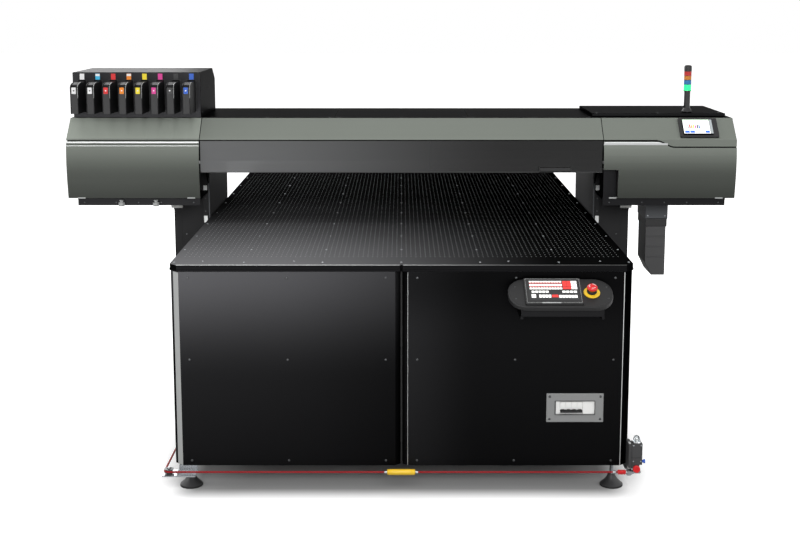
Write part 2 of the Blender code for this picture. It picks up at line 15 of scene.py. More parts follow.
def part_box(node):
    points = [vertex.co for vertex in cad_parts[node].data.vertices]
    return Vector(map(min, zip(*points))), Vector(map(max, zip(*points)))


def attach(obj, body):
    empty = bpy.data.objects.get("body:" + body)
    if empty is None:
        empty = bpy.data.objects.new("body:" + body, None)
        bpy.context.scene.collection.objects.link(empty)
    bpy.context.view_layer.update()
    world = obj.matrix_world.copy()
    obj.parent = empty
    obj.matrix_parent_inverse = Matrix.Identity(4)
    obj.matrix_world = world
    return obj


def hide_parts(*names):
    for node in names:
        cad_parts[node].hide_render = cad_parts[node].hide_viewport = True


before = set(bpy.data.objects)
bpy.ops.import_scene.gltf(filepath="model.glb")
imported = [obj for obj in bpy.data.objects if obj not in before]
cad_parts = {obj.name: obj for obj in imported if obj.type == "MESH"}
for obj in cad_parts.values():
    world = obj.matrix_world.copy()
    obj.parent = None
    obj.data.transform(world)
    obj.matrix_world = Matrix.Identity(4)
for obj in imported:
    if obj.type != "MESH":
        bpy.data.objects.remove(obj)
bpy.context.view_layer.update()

bl_info = {
    "name": "Flatbed UV Printer Finishes",
    "version": (1, 0, 0),
    "blender": (4, 5, 0),
    "location": "View3D > Sidebar > Printer",
    "description": "Finishes, fasteners, labels and fittings of a flatbed UV printer",
    "category": "Object",
}

TABLE_LOW, TABLE_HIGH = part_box("table_top")
FRONT = TABLE_LOW.y
TABLE_LENGTH = TABLE_HIGH.y - TABLE_LOW.y
TABLE_HALF = TABLE_HIGH.x
TABLE_TOP = TABLE_HIGH.z
TABLE_UNDER = TABLE_LOW.z
PANEL_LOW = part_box("front_panel_right")[0].z

SIDES = (("left", -1), ("right", 1))
FLAT = Matrix.Identity(4)
FACING_FRONT = Matrix.Rotation(math.pi / 2, 4, "X")
FACING_BACK = Matrix.Rotation(-math.pi / 2, 4, "X")
FACING_RIGHT = Matrix.Rotation(math.pi / 2, 4, "Y")
FACING_LEFT = Matrix.Rotation(-math.pi / 2, 4, "Y")
# An outline drawn as (depth, height), thickened along X
SIDE_VIEW = Matrix(((0, 0, 1, 0), (1, 0, 0, 0), (0, 1, 0, 0), (0, 0, 0, 1)))
# Frames whose depth is measured back from the table's front face
FROM_FRONT = Matrix.Translation((0, FRONT, 0))
FRONT_PLANE = FROM_FRONT @ FACING_FRONT


def linear(code):
    """The linear colour of an sRGB hex value such as 7F847D."""
    shares = [int(code[i:i + 2], 16) / 255 for i in (0, 2, 4)]
    return tuple(s / 12.92 if s <= 0.04045 else ((s + 0.055) / 1.055) ** 2.4 for s in shares)


def colour_property(name, description, code):
    return bpy.props.FloatVectorProperty(
        name=name, description=description, default=linear(code), subtype="COLOR", size=3, min=0, max=1
    )


def length_property(name, description, metres):
    return bpy.props.FloatProperty(
        name=name, description=description, default=metres, min=0.0001, unit="LENGTH", precision=4
    )


class PrinterSizes(PropertyGroup):
    """Sizes of the fine detail"""

    edge: length_property("Edge break", "Width of the rounded edges of sheet metal", 0.0012)
    hole_pitch: length_property("Hole pitch", "Spacing of the vacuum holes across the table", 0.01875)
    hole_step: length_property("Hole step", "Spacing of the vacuum holes along the table", 0.0375)
    hole_radius: length_property("Hole radius", "Radius of the countersink of a vacuum hole", 0.0024)
    screw_radius: length_property("Screw radius", "Radius of the heads that hold the panels", 0.0048)
    rope_radius: length_property("Rope radius", "Radius of the safety rope's sheath", 0.0038)
    pad_radius: length_property("Pad radius", "Radius of a levelling foot's pad", 0.045)
    floor_half: length_property("Floor reach", "Half the width of the studio floor", 40.0)


class PrinterColours(PropertyGroup):
    """Colours of the finishes"""

    enamel: colour_property("Enamel", "Grey-green metallic enamel of the covers", "7A7F78")
    black_coat: colour_property("Black coat", "Powder coat of the cabinet and legs", "1C1C1D")
    # The brightest colour of the table plate's painted sheen; painted ramps draw the plate down to near black
    # towards the back and the right.
    plate: colour_property("Plate", "Polished parts of the anodised table plate", "747476")
    black_plastic: colour_property("Black plastic", "Moulded housings and bezels", "161617")
    dark_grey: colour_property("Dark grey", "Bottle and switch housings", "3A3A3B")
    mid_grey: colour_property("Mid grey", "Breaker frame and castings", "8A8B8B")
    white_plastic: colour_property("White plastic", "Breaker modules and labels", "E4E4E1")
    red: colour_property("Red", "Emergency stop and switch button", "D9141A")
    yellow: colour_property("Yellow", "Rope sleeve and stop ring", "F5C92B")
    blue: colour_property("Blue", "Reset knob", "1F5FD0")
    rope: colour_property("Rope", "Safety rope's sheath", "A3191F")
    steel: colour_property("Steel", "Zinc-plated and ground steel", "9DA0A3")
    floor: colour_property("Floor", "Studio floor", "F2F2F2")


def at(x, depth, height):
    """A point in the frame, from its depth behind the table's front face."""
    return Vector((x, FRONT + depth, height))


def local(x, y, z, turn=FLAT):
    """A local frame at a point, with its Z turned to face the given way."""
    return Matrix.Translation((x, y, z)) @ turn


def facing(x, depth, height, turn=FLAT):
    """The same at a point given by its depth."""
    return local(x, FRONT + depth, height, turn)


# ---------------------------------------------------------------- materials


def node(tree, kind, settings=(), links=()):
    """Adds a shader node. Lower-case settings are its own, the others are inputs; links are name: socket."""
    made = tree.nodes.new("ShaderNode" + kind)
    for key, value in dict(settings).items():
        if isinstance(key, str) and key[0].islower():
            setattr(made, key, value)
        else:
            made.inputs[key].default_value = value
    for key, socket in dict(links).items():
        tree.links.new(socket, made.inputs[key])
    return made


def per_metre(millimetres):
    """A noise scale at which one feature is that many millimetres across."""
    return 1000 / millimetres


def shade(colour, amount):
    """A colour made lighter or darker by a factor."""
    return tuple(min(1, part * amount) for part in colour)


def coloured(colour):
    return (*colour, 1)


def surface(name, colour, roughness, settings=(), grit=0.5, bump=0.05, mottle=0.06, spread=0.04,
            stretch=(1, 1, 1)):
    """A shader whose colour, gloss and relief vary by a fine grit and a slow cloud.

    grit is in millimetres, bump in millimetres of relief, mottle and spread are how far colour and
    roughness wander, and stretch draws the grit out along an axis, as brushing does.
    """
    made = bpy.data.materials.new(name)
    made.use_nodes = True
    tree = made.node_tree
    tree.nodes.clear()
    place = node(tree, "TexCoord").outputs["Object"]
    drawn = node(tree, "Mapping", {"Scale": stretch}, {"Vector": place}).outputs["Vector"]
    fine = node(tree, "TexNoise", {"Scale": per_metre(grit), "Detail": 2.0}, {"Vector": drawn})
    slow = node(tree, "TexNoise", {"Scale": per_metre(400), "Detail": 3.0}, {"Vector": place})
    both = node(tree, "Mix", {"data_type": "FLOAT", "Factor": 0.5},
                {2: fine.outputs["Fac"], 3: slow.outputs["Fac"]})
    tint = node(tree, "Mix", {
        "data_type": "RGBA", 6: coloured(shade(colour, 1 - mottle)), 7: coloured(shade(colour, 1 + mottle)),
    }, {0: both.outputs[0]})
    gloss = node(tree, "MapRange", {
        "To Min": max(0.02, roughness - spread), "To Max": min(1, roughness + spread),
    }, {"Value": both.outputs[0]})
    relief = node(tree, "Bump", {"Strength": 0.6, "Distance": bump / 1000}, {"Height": fine.outputs["Fac"]})
    shader = node(tree, "BsdfPrincipled", settings, { "Base Color": tint.outputs[2],
                                                     "Roughness": gloss.outputs["Result"],
                                                     "Normal": relief.outputs["Normal"], })
    node(tree, "OutputMaterial", (), {"Surface": shader.outputs["BSDF"]})
    return made


def paint_light_ramps(made, ramps):
    """Paints light and shade into a finish's colour: multiplies it by smooth ramps, each an axis, where it
    begins and ends, and its two factors.
    """
    tree = made.node_tree
    axes = node(tree, "SeparateXYZ", (), {0: node(tree, "TexCoord").outputs["Object"]})
    for axis, start, end, first, last in ramps:
        share = node(tree, "MapRange", { "interpolation_type": "SMOOTHSTEP", "From Min": start,
                                        "From Max": end, "To Min": first, "To Max": last, },
                     {"Value": axes.outputs[axis]})
        multiply_colour(tree, share)


def dark_wound_bands(made):
    """Darkens a finish in bands that wind round every 12 mm."""
    tree = made.node_tree
    ribs = node(tree, "TexWave", {"bands_direction": "DIAGONAL", "Scale": 2 * math.pi / (10 * 0.012)},
                {"Vector": node(tree, "TexCoord").outputs["Object"]})
    multiply_colour(tree, node(tree, "MapRange", {"To Min": 0.55, "To Max": 1.0},
                               {"Value": ribs.outputs["Fac"]}))


def multiply_colour(tree, share):
    """Multiplies the shader's base colour by what a node gives."""
    shader = next(part for part in tree.nodes if part.type == "BSDF_PRINCIPLED")
    mixed = node(tree, "Mix", {"data_type": "RGBA", "blend_type": "MULTIPLY", 0: 1.0}, {
        6: shader.inputs["Base Color"].links[0].from_socket, 7: share.outputs["Result"],
    })
    tree.links.new(mixed.outputs[2], shader.inputs["Base Color"])


def specular(level):
    return {"Specular IOR Level": level}


def metal(edge_tint=1.0):
    return {"Metallic": 1.0, "Specular Tint": (edge_tint, edge_tint, edge_tint, 1)}


def clear(transmission):
    return {"IOR": 1.49, "Transmission Weight": transmission}


# Each row is a colour, as a hex value or a property and a factor; then roughness, settings, grit in
# millimetres, bump in millimetres, and mottle, spread and stretch where they differ from surface()'s own.
# A black metal finish mirrors little even at a glancing angle, so its edge tint is dark too.
FINISHES = {
    # Baked polyester powder on steel: a fine orange peel that spreads each reflection into a soft sheen.
    "black_powder_coat": (("black_coat", 1), 0.4, metal(0.12), 1.6, 0.05, 0.1),
    # The same powder on the covers, ground finer: deep black, with little sheen at a low angle.
    "black_cover_coat": (("black_coat", 1), 0.42, metal(0.02), 1.2, 0.03, 0.08),
    # The cabinet's powder on its left front, with a painted sheen: lighter towards the upper left, where soft
    # light lies on it.
    "left_panel_coat": (("black_coat", 1), 0.4, metal(0.12), 1.6, 0.05, 0.1),
    # The same powder on the right front, with painted shade: drawn deepest at the top right, out of that
    # light.
    "right_panel_coat": (("black_coat", 1), 0.4, metal(0.12), 1.6, 0.05, 0.1),
    # The same powder on the ink box, its edge tint lighter: its top mirrors more of the room at a low angle.
    "ink_box_coat": (("black_coat", 1.8), 0.38, metal(0.22), 1.2, 0.03, 0.08),
    # Powder coat with a grey fleck, a shade lighter than the cabinet's.
    "graphite_coat": ("55575A", 0.42, specular(0.2), 1.2, 0.04, 0.12),
    # Dark grey paint on the legs and their inner plates: matt, a step lighter than the powder coat.
    "liner_grey": ("333334", 0.5, specular(0.05), 1.2, 0.03, 0.1),
    # Extruded vinyl edging, satin black.
    "edge_strip_grey": ("121213", 0.45, metal(0.12), 1.0, 0.01, 0.05),
    # Sprayed enamel with fine aluminium flake: darker where it turns away, and a faint sparkle.
    "metallic_enamel": (("enamel", 1), 0.42, specular(0.12), 0.9, 0.015, 0.07),
    # The same enamel on the left end shell, drawn a shade brighter all over: painted light, as its slope
    # faces the light.
    "shell_enamel": (("enamel", 1.6), 0.42, specular(0.12), 0.9, 0.015, 0.06),
    # The same enamel on the curved side covers, with painted shade: drawn darker from their upper edge down,
    # as they turn away.
    "graded_enamel": (("enamel", 1), 0.42, specular(0.12), 0.9, 0.015, 0.07),
    # Hard-anodised aluminium, milled flat: black and silky, with a painted sheen that draws it lighter at the
    # front left, where a low light lies along it, and matt all over, so that it mirrors nothing at a low
    # angle.
    "anodised_plate": (("plate", 1), 0.46, specular(0.0), 2.5, 0.004, 0.05, 0.03, (1, 0.05, 1)),
    # A painted highlight along the plate's top edge: brightest at the left.
    "plate_edge_line": ("D9DBDA", 0.45, {"Metallic": 0.3}, 1.0, 0.006, 0.03),
    # Bare metal where the countersink cut through the anodising, drawn pale also for a painted glint on each
    # hole's edge, so that the holes read as fine rows.
    "drilled_aluminium": ("A2A4A5", 0.5, specular(0.1), 0.8, 0.01),
    # The unlit depth of a hole.
    "dark_bore": ("040404", 0.85, specular(0.1), 1.0, 0.01),
    # Clear-anodised aluminium trim: pale, silky and even.
    "bright_trim": ("D9DBDA", 0.45, {"Metallic": 0.3}, 1.0, 0.006, 0.03),
    # The same trim in a duller grey, along the cabinet's left corner.
    "satin_trim": ("A9ABAA", 0.48, (), 1.0, 0.006, 0.03),
    # Sand-cast aluminium of the blower: coarse skin, dull grey.
    "cast_aluminium": ("8F9294", 0.52, metal(), 1.8, 0.15, 0.12),
    # Bright zinc plate: cool grey with cloudy gloss.
    "zinc_plated_steel": (("steel", 1), 0.28, metal(), 1.5, 0.02, 0.1, 0.08),
    # Ground and hardened rail steel: fine lines along its length.
    "ground_steel": (("steel", 1), 0.22, {**metal(), "Anisotropic": 0.5}, 1.2, 0.01, 0.06, 0.04,
                     (1, 0.04, 0.04)),
    # Polished chrome on the rope eye and bezels.
    "chrome_plate": ("D8DADC", 0.1, metal(), 2.0, 0.004, 0.03, 0.03),
    # Blackened screw heads: a dark metal that still glints.
    "black_oxide_steel": ("4A4B4C", 0.34, metal(), 0.8, 0.01),
    # Spark-eroded mould texture on black ABS: matt, with a soft light edge.
    "moulded_abs": (("black_plastic", 1), 0.48, specular(0.35), 0.7, 0.04, 0.1),
    # Coarse spark-eroded ABS of the ink trays: deep black, hardly any shine on top.
    "tray_abs": ("19191A", 0.55, specular(0.1), 0.8, 0.04, 0.1),
    # Polished mould on black ABS: clear small reflections.
    "glossy_abs": (("black_plastic", 1), 0.14, specular(0.5), 1.5, 0.004, 0.06, 0.02),
    # Blow-moulded polyethylene: slightly waxy and uneven.
    "moulded_dark_grey": (("dark_grey", 1), 0.46, specular(0.4), 2.2, 0.05, 0.1),
    # Moulded grey PC: fine texture, even colour.
    "moulded_mid_grey": (("mid_grey", 1), 0.45, (), 0.8, 0.03, 0.04),
    # Moulded white thermoplastic: bright, softly glossy.
    "moulded_white": (("white_plastic", 1), 0.38, (), 0.9, 0.02, 0.02),
    # The breakers' urea moulding: the whitest plastic here, with a hard gloss.
    "moulded_bright_white": ("F8F8F6", 0.3, (), 0.9, 0.01, 0.01),
    # Red pigmented polyamide of a safety button.
    "moulded_red": (("red", 1), 0.32, {"Subsurface Weight": 0.05, "Subsurface Radius": (0.002, 0.001, 0.001)},
                    0.8, 0.01, 0.04),
    # Yellow pigmented polyamide.
    "moulded_yellow": (("yellow", 1), 0.36, (), 0.8, 0.02, 0.04),
    # Blue pigmented polyamide.
    "moulded_blue": (("blue", 1), 0.36, (), 0.8, 0.02, 0.04),
    # Nitrile rubber: matt, with a dusty bloom.
    "black_rubber": ("1B1B1B", 0.7, specular(0.3), 1.0, 0.06, 0.2),
    # PVC over a steel rope, drawn darker in bands that wind round every 12 mm.
    "rope_sheath": (("rope", 1), 0.45, specular(0.25), 0.8, 0.02, 0.06),
    # Cast acrylic, dyed almost black: the carriage behind it is only a shadow. Its colour carries a painted
    # sheen, paler towards the left, where soft light lies along it.
    "smoked_sheet": ("7A7B7C", 0.12, {**clear(0.35), **specular(0.12)}, 3.0, 0.003, 0.02, 0.02),
    # Moulded clear dome.
    "clear_polycarbonate": ("E6EBEE", 0.06, clear(0.85), 3.0, 0.003, 0.02, 0.02),
    # A lit signal lens: it glows by itself, most along its middle.
    "lens_green": ("1FD08A", 0.2, {
        **clear(0.2), "Emission Color": (*linear("25E884"), 1), "Emission Strength": 0.9,
    }, 3.0, 0.003, 0.02, 0.02),
    # Unlit dyed polycarbonate.
    "lens_blue": ("1A7FC0", 0.2, clear(0.25), 3.0, 0.003, 0.02, 0.02),
    "lens_amber": ("E08A1A", 0.2, clear(0.25), 3.0, 0.003, 0.02, 0.02),
    "lens_red": ("D0201C", 0.2, clear(0.25), 3.0, 0.003, 0.02, 0.02),
}
# Ramps that paint light and shade into finishes' colours along their own axes: painted sheen where they rise,
# painted shade where they fall.
PAINTED_SHEEN_FADE = ("Y", FRONT - 0.1, FRONT + 1.9, 1.0, 0.17)
PAINTED_SHEEN_UP = ("Z", 0.45, 0.92, 0.82, 1.85)
PAINTED_LIGHT_RAMPS = {
    "left_panel_coat": (PAINTED_SHEEN_UP, PAINTED_SHEEN_UP, ("X", -0.5, 0.3, 1.0, 0.4)),
    "right_panel_coat": (("Z", 0.62, 0.85, 0.45, 0.25), ("X", 0.0, 0.3, 2.4, 1.0)),
    "graded_enamel": (("Z", 1.12, 1.285, 0.37, 1.05), ("Z", 0.98, 1.13, 0.5, 1.0)),
    "anodised_plate": (("X", -0.65, 0.62, 1.0, 0.02), PAINTED_SHEEN_FADE, PAINTED_SHEEN_FADE),
    "plate_edge_line": (("X", -0.3, 0.6, 1.0, 0.12),),
    "smoked_sheet": (("X", -0.85, 0.54, 1.0, 0.04),),
}
# A patch of a lit display behind its glass
DISPLAY_INKS = {
    "white": "F4F6F2", "pale_green": "CFE9CF", "grey": "8E9496", "red": "D22B27", "orange": "EE8A2A",
    "yellow": "F2D33C", "magenta": "D33F96", "black": "1A1B1C", "blue": "2F63C8", "pink": "F0B8B4",
}
for ink, code in DISPLAY_INKS.items():
    lit = {"Emission Color": (*linear(code), 1), "Emission Strength": 0.75}
    FINISHES[f"display_{ink}"] = (code, 0.12, lit, 0.5, 0.002, 0.03)
# Ink under a satin polyester film
LABEL_INKS = {
    "white": "EDEDED", "cyan": "3FB7E0", "red": "D8292B", "orange": "F08A24", "yellow": "F2DC2F",
    "magenta": "D83A93", "black": "1B1B1C", "blue": "2B5FC4", "silver": "C6C8C8",
}
for ink, code in LABEL_INKS.items():
    FINISHES[f"label_{ink}"] = (code, 0.3, (), 0.6, 0.004, 0.03)


def finish(name):
    """The named material, made the first time that it's asked for."""
    found = bpy.data.materials.get(name)
    if found:
        return found
    colour, roughness, settings, *relief = FINISHES[name]
    if isinstance(colour, str):
        paint = linear(colour)
    else:
        paint = shade(getattr(bpy.context.scene.printer_colours, colour[0]), colour[1])
    made = surface(name, paint, roughness, settings, *relief)
    if name == "rope_sheath":
        dark_wound_bands(made)
    if name in PAINTED_LIGHT_RAMPS:
        paint_light_ramps(made, PAINTED_LIGHT_RAMPS[name])
    return made


# ---------------------------------------------------------------- shapes


def add_faces(shape, points, faces, place=FLAT):
    """Adds points and the faces between them, given by number."""
    made = [shape.verts.new(place @ Vector(point)) for point in points]
    for face in faces:
        shape.faces.new([made[i] for i in face])
    return made


def add_block(shape, low, high, place=FLAT):
    """A block between two corners of a local frame."""
    (x0, y0, z0), (x1, y1, z1) = low, high
    x0, x1 = sorted((x0, x1))
    points = [(x, y, z) for z in (z0, z1) for y in (y0, y1) for x in (x0, x1)]
    faces = [(0, 2, 3, 1), (4, 5, 7, 6), (0, 1, 5, 4), (2, 6, 7, 3), (0, 4, 6, 2), (1, 3, 7, 5)]
    add_faces(shape, points, faces, place)


def add_bar(shape, low, high):
    """A block between two corners given as (x, depth, height), in either order of x."""
    add_block(shape, low, high, FROM_FRONT)


def add_prism(shape, outline, low, high, place=FLAT):
    """A flat outline thickened from low to high along a local frame's Z."""
    count = len(outline)
    points = [(x, y, low) for x, y in outline] + [(x, y, high) for x, y in outline]
    faces = [tuple(reversed(range(count))), tuple(range(count, 2 * count))]
    faces += [(i, (i + 1) % count, (i + 1) % count + count, i + count) for i in range(count)]
    add_faces(shape, points, faces, place)


def add_plate_ring(shape, outer, inner, low, high, place=FLAT):
    """The band between two outlines of the same number of points, thickened from low to high."""
    count = len(outer)
    rings = [(outer, low), (outer, high), (inner, high), (inner, low)]
    points = [(x, y, height) for outline, height in rings for x, y in outline]
    faces = []
    for ring in range(4):
        here, there = ring * count, (ring + 1) % 4 * count
        faces += [(here + i, here + (i + 1) % count, there + (i + 1) % count,
                   there + i) for i in range(count)]
    add_faces(shape, points, faces, place)


def circle(radius, steps, start=0.0):
    """The points of a circle round the origin, anticlockwise."""
    turns = [start + 2 * math.pi * step / steps for step in range(steps)]
    return [(radius * math.cos(turn), radius * math.sin(turn)) for turn in turns]


def fluted(radius, groove, steps):
    """The outline of a knob whose rim steps in by a groove at every second point."""
    return [circle(radius - groove * (i % 2), steps)[i] for i in range(steps)]


def add_turned(shape, profile, place=FLAT, steps=24, ring=False):
    """A turned shape from (radius, height) points about a local frame's Z. A ring's profile is closed."""
    circles = []
    for radius, height in profile:
        if radius < 1e-7:
            circles.append([shape.verts.new(place @ Vector((0, 0, height)))])
            continue
        circles.append([shape.verts.new(place @ Vector((x, y, height))) for x, y in circle(radius, steps)])
    pairs = list(zip(circles, circles[1:]))
    if ring:
        pairs.append((circles[-1], circles[0]))
    for above, below in pairs:
        for i in range(steps):
            j = (i + 1) % steps
            corners = [above[i % len(above)], above[j % len(above)], below[j % len(below)],
                       below[i % len(below)]]
            corners = list(dict.fromkeys(corners))
            if len(corners) > 2:
                shape.faces.new(corners)


def add_tube(shape, points, radius, steps=12, closed=False):
    """A round rod along a line of points, with flat ends."""
    points = [Vector(point) for point in points]
    count = len(points)
    rings = []
    side = None
    for i, point in enumerate(points):
        before = points[i - 1] if i or closed else point
        after = points[(i + 1) % count] if i < count - 1 or closed else point
        way = (after - before).normalized()
        if side is None:
            side = way.orthogonal().normalized()
        side = (side - way * side.dot(way)).normalized()
        other = way.cross(side)
        rings.append([shape.verts.new(point + (side * u + other * v) * radius) for u, v in circle(1, steps)])
    pairs = list(zip(rings, rings[1:]))
    if closed:
        pairs.append((rings[-1], rings[0]))
    for ring, following in pairs:
        for i in range(steps):
            j = (i + 1) % steps
            shape.faces.new([ring[i], ring[j], following[j], following[i]])
    if not closed:
        shape.faces.new(list(reversed(rings[0])))
        shape.faces.new(rings[-1])


def drawn(add, *measures, **settings):
    """A new shape with one solid in it."""
    shape = bmesh.new()
    add(shape, *measures, **settings)
    return shape


def bars(*corners):
    """A new shape of bars, from the low and the high corner of each."""
    shape = bmesh.new()
    for low, high in corners:
        add_bar(shape, low, high)
    return shape


def box_outline(left, bottom, right, top):
    """A rectangle between two corners, anticlockwise."""
    return [(left, bottom), (right, bottom), (right, top), (left, top)]


def rounded(half_x, half_y, radius, steps=5):
    """A rectangle round the origin whose corners are quarter circles."""
    outline = []
    for corner, (side_x, side_y) in enumerate(((1, 1), (-1, 1), (-1, -1), (1, -1))):
        for step in range(steps + 1):
            turn = math.pi / 2 * (corner + step / steps)
            outline.append((
                side_x * (half_x - radius) + radius * math.cos(turn),
                side_y * (half_y - radius) + radius * math.sin(turn),
            ))
    return outline


def grown(outline, amount):
    """An outline moved outwards by an amount, or inwards where it is negative. It runs anticlockwise."""
    moved = []
    for i, point in enumerate(outline):
        here = Vector(point)
        before = (here - Vector(outline[i - 1])).normalized()
        after = (Vector(outline[(i + 1) % len(outline)]) - here).normalized()
        out_before = Vector((before.y, -before.x))
        out_after = Vector((after.y, -after.x))
        moved.append(tuple(here + (out_before + out_after) / (1 + out_before.dot(out_after)) * amount))
    return moved


def piece(name, shape, finish_name, body, edge=0.0, replaces=(), crease=38):
    """Turns a shape into an object that rides on a body, with its edges broken by a bevel."""
    bmesh.ops.recalc_face_normals(shape, faces=shape.faces)
    mesh = bpy.data.meshes.new(name)
    shape.to_mesh(mesh)
    shape.free()
    mesh.shade_smooth()
    mesh.set_sharp_from_angle(angle=math.radians(crease))
    obj = bpy.data.objects.new(name, mesh)
    bpy.context.scene.collection.objects.link(obj)
    mesh.materials.append(finish(finish_name))
    if edge:
        break_edges(obj, edge)
    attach(obj, body)
    if replaces:
        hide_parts(*replaces)
    return obj


def break_edges(obj, width, segments=2, angle=30):
    """Rounds an object's sharp edges, and lets its flat faces keep flat shading."""
    bevel = obj.modifiers.new("broken_edges", "BEVEL")
    bevel.width = width
    bevel.segments = segments
    bevel.limit_method = "ANGLE"
    bevel.angle_limit = math.radians(angle)
    bevel.use_clamp_overlap = True
    bevel.harden_normals = False
    weighted = obj.modifiers.new("face_normals", "WEIGHTED_NORMAL")
    weighted.keep_sharp = True


def dress(node_name, finish_name, edge=None):
    """Gives a CAD node its finish, joins its triangles into whole faces and breaks its edges."""
    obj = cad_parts[node_name]
    for slot in obj.material_slots:
        slot.material = finish(finish_name)
    if not obj.material_slots:
        obj.data.materials.append(finish(finish_name))
    weld = obj.modifiers.new("welded", "WELD")
    weld.merge_threshold = 0.00002
    flat = obj.modifiers.new("whole_faces", "DECIMATE")
    flat.decimate_type = "DISSOLVE"
    flat.angle_limit = math.radians(1)
    width = bpy.context.scene.printer_sizes.edge if edge is None else edge
    if width:
        break_edges(obj, width)
    return obj


def add_screw(shape, place, radius, height=None):
    """A button-head screw whose hexagon socket is sunk in its dome."""
    height = height or radius * 0.45
    outer = [(radius, 0), (radius * 0.96, height * 0.45), (radius * 0.74, height * 0.88),
             (radius * 0.45, height)]
    add_turned(shape, [*outer, (radius * 0.4, height * 0.35), (0, height * 0.35)], place, 12)


def screws(name, places, radius, body, finish_name="black_oxide_steel"):
    """One piece that holds all of a body's like screws. Each place is a matrix whose Z points out."""
    shape = bmesh.new()
    for place in places:
        add_screw(shape, place, radius)
    piece(name, shape, finish_name, body)


# ---------------------------------------------------------------- table


CORNER = 0.03
NOTCH = 0.006
SKIN = 0.0012
HOLE_COLUMNS = 91
HOLE_FIRST_ROW = 0.1595
HOLE_DEPTH = 0.001
SEGMENTS = 6


def table_outline():
    """The plate seen from above, anticlockwise, with its cut corners and the locating notch in front."""
    half, length, corner = TABLE_HALF, TABLE_LENGTH, CORNER
    return [
        (corner - half, 0), (-NOTCH, 0), (0, NOTCH), (NOTCH, 0), (half - corner, 0), (half, corner),
        (half, length - corner), (half - corner, length), (corner - half, length), (-half, length - corner),
        (-half, corner),
    ]


def hole_grid(sizes):
    """The columns' X and the rows' depth of the vacuum holes."""
    columns = [(i - (HOLE_COLUMNS - 1) / 2) * sizes.hole_pitch for i in range(HOLE_COLUMNS)]
    rows = int((TABLE_LENGTH - 2 * HOLE_FIRST_ROW) / sizes.hole_step) + 1
    return columns, [HOLE_FIRST_ROW + i * sizes.hole_step for i in range(rows)]


def plate_core():
    """The slab under the drilled skin, with the outline of the whole plate."""
    slab = drawn(add_prism, table_outline(), TABLE_UNDER, TABLE_TOP - SKIN, FROM_FRONT)
    piece("plate_core", slab, "edge_strip_grey", "table", edge=0.0008, replaces=["table_top"])


def drilled_skin():
    """The plate's top face, one cell for each hole, and the plain border round the cells."""
    sizes = bpy.context.scene.printer_sizes
    columns, rows = hole_grid(sizes)
    half_x, half_y = sizes.hole_pitch / 2, sizes.hole_step / 2
    left, right = columns[0] - half_x, columns[-1] + half_x
    near, far = rows[0] - half_y, rows[-1] + half_y
    shape = bmesh.new()
    rim = circle(sizes.hole_radius, SEGMENTS, math.pi / 2)
    for depth in rows:
        for x in columns:
            corners = [(-half_x, -half_y), (half_x, -half_y), (half_x, half_y), (-half_x, half_y)]
            points = [at(x + u, depth + v, TABLE_TOP) for u, v in corners + rim]
            made = [shape.verts.new(point) for point in points]
            # The cell's corners run anticlockwise from the front left, and the rim's from the back.
            front_left, front_right, back_right, back_left = made[:4]
            back, left_back, left_front, front, right_front, right_back = made[4:]
            shape.faces.new([front_left, front_right, front])
            shape.faces.new([front_right, right_front, front])
            shape.faces.new([front_right, back_right, right_back, right_front])
            shape.faces.new([back_right, back, right_back])
            shape.faces.new([back_right, back_left, back])
            shape.faces.new([back_left, left_back, back])
            shape.faces.new([back_left, front_left, left_front, left_back])
            shape.faces.new([front_left, front, left_front])
    outline = table_outline()
    front_part = [outline[10], *outline[0:6], (right, near), (left, near)]
    right_part = [outline[5], outline[6], (right, far), (right, near)]
    back_part = [outline[6], outline[7], outline[8], outline[9], (left, far), (right, far)]
    left_part = [outline[9], outline[10], (left, near), (left, far)]
    for part in (front_part, right_part, back_part, left_part):
        add_faces(shape, [at(x, depth, TABLE_TOP) for x, depth in part], [tuple(range(len(part)))])
    edge = [at(x, depth, TABLE_TOP) for x, depth in outline]
    low = [point - Vector((0, 0, SKIN)) for point in edge]
    count = len(outline)
    add_faces(shape, edge + low, [(i, (i + 1) % count, (i + 1) % count + count,
                                   i + count) for i in range(count)])
    bmesh.ops.remove_doubles(shape, verts=shape.verts, dist=1e-6)
    piece("drilled_skin", shape, "anodised_plate", "table")


def hole_rims_and_bores():
    """The countersink of each vacuum hole, bare metal drawn pale with a painted glint, and the dark bore
    under it.
    """
    sizes = bpy.context.scene.printer_sizes
    columns, rows = hole_grid(sizes)
    rims, bores = bmesh.new(), bmesh.new()
    mouth, throat = (circle(share * sizes.hole_radius, SEGMENTS, math.pi / 2) for share in (1, 0.6))
    ring = [(i, (i + 1) % SEGMENTS, (i + 1) % SEGMENTS + SEGMENTS, i + SEGMENTS) for i in range(SEGMENTS)]
    for depth in rows:
        for x in columns:
            outer = [at(x + u, depth + v, TABLE_TOP) for u, v in mouth]
            inner = [at(x + u, depth + v, TABLE_TOP - HOLE_DEPTH) for u, v in throat]
            add_faces(rims, outer + inner, ring)
            add_faces(bores, inner, [tuple(range(SEGMENTS))])
    piece("hole_rims", rims, "drilled_aluminium", "table")
    piece("hole_bores", bores, "dark_bore", "table")


def edge_band():
    """The black extrusion round the plate's lower edge, and a painted highlight along its top edge."""
    outline = table_outline()
    band = drawn(add_plate_ring, grown(outline, 0.0016), grown(outline, -0.004), TABLE_UNDER + 0.0004,
                 TABLE_UNDER + 0.0092, FROM_FRONT)
    piece("edge_band", band, "edge_strip_grey", "table", edge=0.0005)
    low, high = TABLE_TOP - 0.0014, TABLE_TOP + 0.0002
    line = bars(((CORNER - TABLE_HALF, -0.0006, low), (-0.0065, 0.001, high)),
                ((0.0065, -0.0006, low), (TABLE_HALF - CORNER, 0.001, high)))
    piece("edge_line", line, "plate_edge_line", "table", edge=0.0003)


